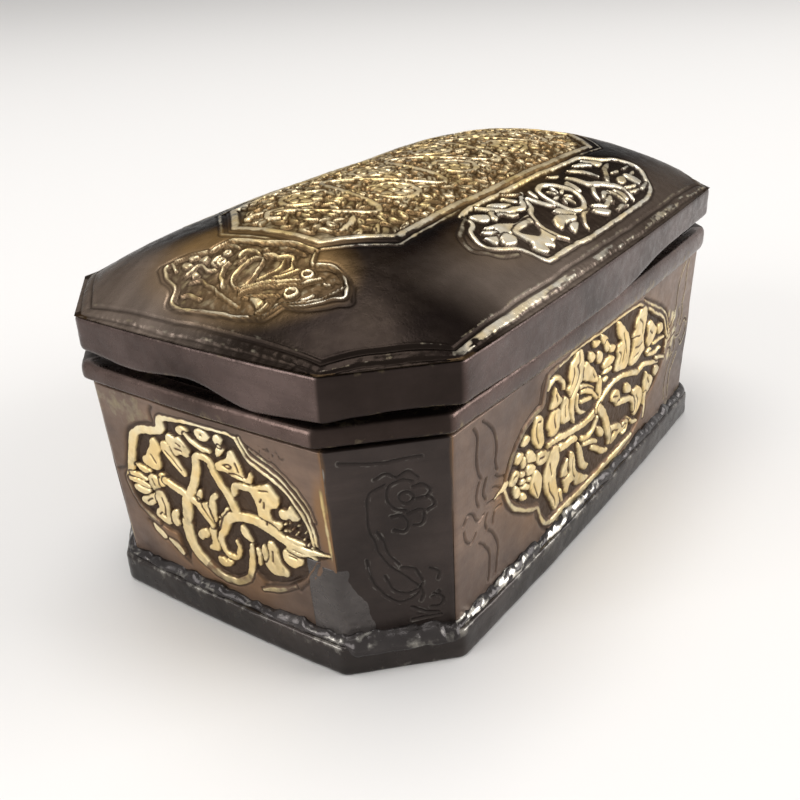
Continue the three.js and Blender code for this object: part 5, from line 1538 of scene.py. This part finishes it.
def lid_dome(seed):
    """The lid's plate: a carved dome over a grid that narrows with the octagon's cut corners."""
    a, b, c = SKIRT
    columns, rows = int(2 * a / LID_STEP) | 1, int(2 * b / LID_STEP) | 1
    v = np.linspace(-1, 1, rows)[:, None] * b
    x0 = np.linspace(-1, 1, columns)[None, :] * np.minimum(a, a + b - c - abs(v))
    y0 = np.broadcast_to(v, x0.shape)
    x, y = bowed(x0, y0)
    inset = np.minimum.reduce([a - abs(x0), b - abs(y0), (a + b - c - abs(x0) - abs(y0)) / math.sqrt(2)])
    face = Face(x, y, seed, 0.13)
    carve_lid(face, inset)
    face.relief += 0.2 * face.noise(15, 20) + 0.05 * face.noise(3.4, 21)
    face.relief *= smooth(inset, 0, 0.5)
    place = np.stack([x, y, dome_height(x0, y0)], 2)
    normal = np.cross(np.gradient(place, axis=1), np.gradient(place, axis=0))
    normal /= np.linalg.norm(normal, axis=2)[..., None] + 1e-9
    top = (place + normal * face.relief[..., None]).reshape(-1, 3)
    rim = border(rows, columns)
    under = dome_underside(x0.ravel()[rim], y0.ravel()[rim])
    first, count = len(top), len(rim)
    quads, uv = lattice(rows, columns)
    sides = skirting(rim, first + np.arange(count))
    below, below_uv = turned_over(*lattice(len(under), count, first, True))
    last = first + (len(under) - 1) * count
    cap = list(range(last, last + count))[::-1]
    faces = quads.tolist() + sides.tolist() + below.tolist() + [cap]
    uvs = [
        placed(uv, (1, 0.6)), np.tile([[0.01, 0.61], [0.02, 0.61], [0.02, 0.62], [0.01, 0.62]], (count, 1)),
        placed(below_uv, (1, 0.3), (0, 0.65)), np.full((count, 2), 0.97),
    ]
    hidden = count * len(under)
    values = readings(face, hidden, 0.4)
    # Painted highlight on the lid's far left and front slopes, which the material reads as a lighter patina.
    values["rubbed_and_sheen"] = np.concatenate([painted_sheen_slopes(x0, y0, x, y, seed).ravel(), np.zeros(hidden)])
    points = np.concatenate([top, *under])
    piece("lid_dome", points, faces, values, uvs, "lid", ["lid_top"], LID_BRASS)


# The box


wall_panel("wall_left_end", 7, 0.22, carve_end, 100)
wall_panel("wall_front", 1, 0.3, carve_side, 200)
wall_panel("wall_right_end", 3, 0.36, carve_end, 300, -1)
wall_panel("wall_back", 5, 0.4, carve_side, 400, -1)
# The cut-corner walls take the darker brass of painted shade.
wall_panel("wall_near_corner", 0, 0.25, carve_corner, 500, 1, SHADED_CORNER_BRASS)
wall_panel("wall_front_right_corner", 2, 0.36, carve_corner, 600, -1, SHADED_CORNER_BRASS)
wall_panel("wall_back_right_corner", 4, 0.36, carve_corner, 700, 1, SHADED_CORNER_BRASS)
wall_panel("wall_back_left_corner", 6, 0.36, carve_corner, 800, -1, SHADED_CORNER_BRASS)

RECESS = grown(FOOT, -FOOT_RING)
ring_piece("foot_plate", [
    (scaled(RECESS, 0.02), FOOT_HEIGHT, 0), (scaled(RECESS, 0.5), FOOT_HEIGHT, 0),
    (grown(WALL_LOW, -WALL_THICKNESS), FOOT_HEIGHT, 0), (WALL_LOW, FOOT_HEIGHT, 0), (FOOT, FOOT_HEIGHT, 0.4),
    (FOOT, FOOT_HEIGHT / 2, 0), (FOOT, 0, 0.25), (grown(FOOT, -2), 0, 0.2), (RECESS, 0, 0.1),
    (RECESS, FOOT_HOLLOW, 0), (scaled(RECESS, 0.5), FOOT_HOLLOW, 0), (scaled(RECESS, 0.02), FOOT_HOLLOW, 0),
], "box", ["base_plate"], FOOT_BRASS, closed=False, rough=0.12, seed=11, step=1.1)

BEAD_STEP = 0.8
BEAD_FOOT = FOOT_HEIGHT - 0.4


def lumpy_bead(points, edges, shares, normals):
    """Solder along the wall's foot: it runs thin and thick, and over the near corner's edge."""
    place = np.arange(len(edges)) * BEAD_STEP
    swell = 1 + 0.35 * noise(place, place * 0, 5, 41) + 0.25 * noise(place, place * 0, 1.9, 42)
    spill = np.where(edges == 0, smooth(shares, 0, 0.08) * smooth(shares, 1.05, 0.93), 0)
    points[..., 2] = FOOT_HEIGHT + (points[..., 2] - FOOT_HEIGHT) * swell
    spread = 0.35 * (swell - 1) + 1.9 * spill * (points[..., 2] < FOOT_HEIGHT + 1)
    points[..., :2] += normals * spread[..., None]
    points[..., 2] -= 1.6 * spill * (points[..., 2] < FOOT_HEIGHT + 0.6)


ring_piece("foot_bead", [
    (grown(WALL_LOW, -0.4), BEAD_FOOT, 0), (grown(WALL_LOW, 2.2), BEAD_FOOT, 0.2),
    (grown(WALL_LOW, 2.0), FOOT_HEIGHT + 0.7, 0.3), (grown(WALL_LOW, 0.9), FOOT_HEIGHT + 1.9, 0.2),
    (grown(WALL_LOW, -0.4), FOOT_HEIGHT + 2.4, 0),
], "box", ["foot_braze"], BRAZING, bend=lumpy_bead, rough=0.36, seed=21, step=BEAD_STEP,
    wear=(1, 1.8, 0.9, 0.9, 0.9, 1.8, 0.9, 0.9), flecked=True)


def rim_waves(points, edges, shares, normals):
    """The rim's lower edge rises and falls."""
    lift = around(RIM_LIFTS, edges, shares)
    points[..., 2] += lift * smooth(points[..., 2], WALL_TOP + RIM_HEIGHT / 2, WALL_TOP)


# The rim's cut-corner faces carry painted shade.
ring_piece("rim_moulding", [
    (grown(WALL_HIGH, 0.5), WALL_TOP, 0.2), (grown(RIM, -0.7), WALL_TOP + 0.2, 0.5),
    (RIM, WALL_TOP + 1.6, 0.3), (RIM, RIM_TOP - 1.4, 0), (grown(RIM, -0.6), RIM_TOP, 0.2),
    (grown(MOUTH, 0.3), RIM_TOP, 0.2), (MOUTH, RIM_TOP - 0.4, 0), (MOUTH, WALL_TOP, 0),
], "box", ["rim_band"], RIM_BRASS, bend=rim_waves, seed=31, brown=0.15, corner_shade=1.0)


def skirt_waves(points, edges, shares, normals):
    """The lid's lower edge rises and falls, so its gap to the rim is uneven."""
    lift = around(SKIRT_LIFTS, edges, shares)
    points[..., 2] += lift * smooth(points[..., 2], SKIRT_TOP - 1, SKIRT_BOTTOM)


SKIRT_INSIDE = grown(SKIRT, -SKIRT_THICKNESS)
# The lid band's cut-corner faces carry painted shade.
ring_piece("lid_band", [
    (grown(SKIRT, -0.3), SKIRT_BOTTOM, 0.45), (SKIRT, SKIRT_BOTTOM + 0.6, 0.1), (SKIRT, SKIRT_BOTTOM + 6, 0),
    (SKIRT, SKIRT_TOP - 0.5, 0.1), (grown(SKIRT, -0.4), SKIRT_TOP, 0.3), (SKIRT_INSIDE, SKIRT_TOP, 0),
    (SKIRT_INSIDE, SKIRT_BOTTOM, 0),
], "lid", ["lid_skirt"], RIM_BRASS, bend=skirt_waves, rough=0.07, seed=51, corner_shade=1.0)

lid_dome(900)

PATCH_HALF = 8.5
PATCH_HEIGHT = 21
PATCH_DEPTH = 0.9
PATCH_ROWS = 60
PATCH_COLUMNS = 64


def patch_thickness(s, h):
    """How far the smear stands out: ragged at its edges, and below the wall's face round its rim."""
    ragged = 1.2 - np.hypot((s + 1.5) / (9.6 - 0.16 * h), np.maximum(h - 7, 0) / 14)
    ragged += 0.2 * noise(s, h, 4.2, 61) + 0.06 * noise(s, h, 1.5, 62)
    thick = 0.44 * smooth(ragged, 0, 0.3) + 0.06 * noise(s, h, 1.2, 63) - 0.2
    return np.where((abs(s) > PATCH_HALF - 0.2) | (h > PATCH_HEIGHT - 0.4), -0.5, thick)


def corner_patch():
    """Solder smeared over the upright seam at the near corner's left, worn ragged at its edges."""
    rows, columns = PATCH_ROWS, PATCH_COLUMNS
    s = np.linspace(-PATCH_HALF, PATCH_HALF, columns)
    heights = np.linspace(0, PATCH_HEIGHT, rows)
    thick = patch_thickness(*np.meshgrid(s, heights))
    points = np.empty((2, rows, columns, 3))
    for j, height in enumerate(heights):
        shape = wall_shape(height)
        for edge, here in ((7, s < 0), (0, s >= 0)):
            t = s[here] / edge_of(shape, edge)[3] + (1 if edge == 7 else 0)
            xy, out = outline(shape, edge, t, WALL_ROUND)
            points[0, j, here, :2] = xy + out * thick[j, here, None]
            points[1, j, here, :2] = xy - out * PATCH_DEPTH
        points[:, j, :, 2] = FOOT_HEIGHT + height
    first = rows * columns
    front, front_uv = lattice(rows, columns)
    rear, rear_uv = turned_over(*lattice(rows, columns, first))
    rim = border(rows, columns)
    faces = front.tolist() + rear.tolist() + skirting(rim, first + rim).tolist()
    uvs = [
        placed(front_uv, (1, 0.6)), placed(rear_uv, (1, 0.3), (0, 0.65)), np.full((4 * len(rim), 2), 0.98),
    ]
    plain = np.zeros(2 * first)
    worn = plain.copy()
    worn[:first] = 0.2 * smooth(thick, 0.1, 0.4).ravel()
    values = {"worn": worn, "sunk_or_shaded": plain, "brown": plain}
    points = points.reshape(-1, 3)
    piece("corner_patch", points, faces, values, uvs, "box", ["seam_braze"], SMEAR)


corner_patch()

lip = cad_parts["lid_lip"]
lip.data.materials.clear()
lip.data.materials.append(RIM_BRASS)

# The room: a pale floor and backdrop, soft boxes left and right, and one overhead

FLOOR_REACH = 6
FLOOR_COLOUR = (0.78, 0.76, 0.74)
FLOOR_ROUGHNESS = 0.45
ROOM_LIGHT = (0.48, 0.48, 0.48)
ROOM_SEEN = (0.82, 0.805, 0.79)
LAMP_AIM = (0, 0, 0.05)


def lay_floor():
    mesh = bpy.data.meshes.new("floor")
    corners = [(x * FLOOR_REACH, y * FLOOR_REACH, 0) for x, y in ((-1, -1), (1, -1), (1, 1), (-1, 1))]
    mesh.from_pydata(corners, [], [(0, 1, 2, 3)])
    material = bpy.data.materials.new("floor")
    nodes = Nodes(material)
    shader = nodes.tree.nodes["Principled BSDF"]
    shader.inputs["Base Color"].default_value = (*FLOOR_COLOUR, 1)
    shader.inputs["Roughness"].default_value = FLOOR_ROUGHNESS
    mesh.materials.append(material)
    floor = bpy.data.objects.new("floor", mesh)
    bpy.context.scene.collection.objects.link(floor)


def light_room():
    """The room lights the box at a plain level. The camera and the metal see it paler."""
    world = bpy.data.worlds.new("room")
    bpy.context.scene.world = world
    nodes = Nodes(world)
    path = nodes.add("LightPath").outputs
    seen = nodes.maths("MAXIMUM", path["Is Camera Ray"], path["Is Glossy Ray"])
    colour = nodes.mixed(seen, ROOM_LIGHT, ROOM_SEEN)
    nodes.feed(nodes.tree.nodes["Background"].inputs["Color"], colour)


def softbox(name, place, width, height, power):
    light = bpy.data.lights.new(name, "AREA")
    light.shape = "RECTANGLE"
    light.size, light.size_y = width, height
    light.energy = power
    lamp = bpy.data.objects.new(name, light)
    lamp.location = place
    lamp.rotation_euler = (Vector(LAMP_AIM) - Vector(place)).to_track_quat("-Z", "Y").to_euler()
    bpy.context.scene.collection.objects.link(lamp)


def stand_camera():
    pitch, roll = CAMERA_PITCH, CAMERA_ROLL
    heading = CAMERA_YAW + math.atan2(-CAMERA_PLACE[1], -CAMERA_PLACE[0])
    flat = math.cos(pitch)
    ahead = Vector((flat * math.cos(heading), flat * math.sin(heading), math.sin(pitch)))
    level = ahead.cross(Vector((0, 0, 1))).normalized()
    rise = level.cross(ahead)
    right = math.cos(roll) * level + math.sin(roll) * rise
    up = -math.sin(roll) * level + math.cos(roll) * rise
    view = bpy.data.cameras.new("view")
    view.sensor_width = SENSOR
    view.lens = CAMERA_FOCAL / FRAME_PIXELS * SENSOR
    view.clip_start = 0.01
    camera = bpy.data.objects.new("view", view)
    rows = [(right[k], up[k], -ahead[k], CAMERA_PLACE[k] / 1000) for k in range(3)]
    camera.matrix_world = Matrix((*rows, (0, 0, 0, 1)))
    bpy.context.scene.collection.objects.link(camera)
    bpy.context.scene.camera = camera


lay_floor()
light_room()
softbox("overhead", (0.1, 0.3, 2.4), 1.8, 1.4, 32)
softbox("from_left", (-2.2, 0.9, 1.1), 1.4, 1.2, 26)
softbox("from_right", (1.4, -2.1, 1.2), 1.8, 1.4, 46)
stand_camera()

bpy.context.scene.view_settings.view_transform = "Standard"
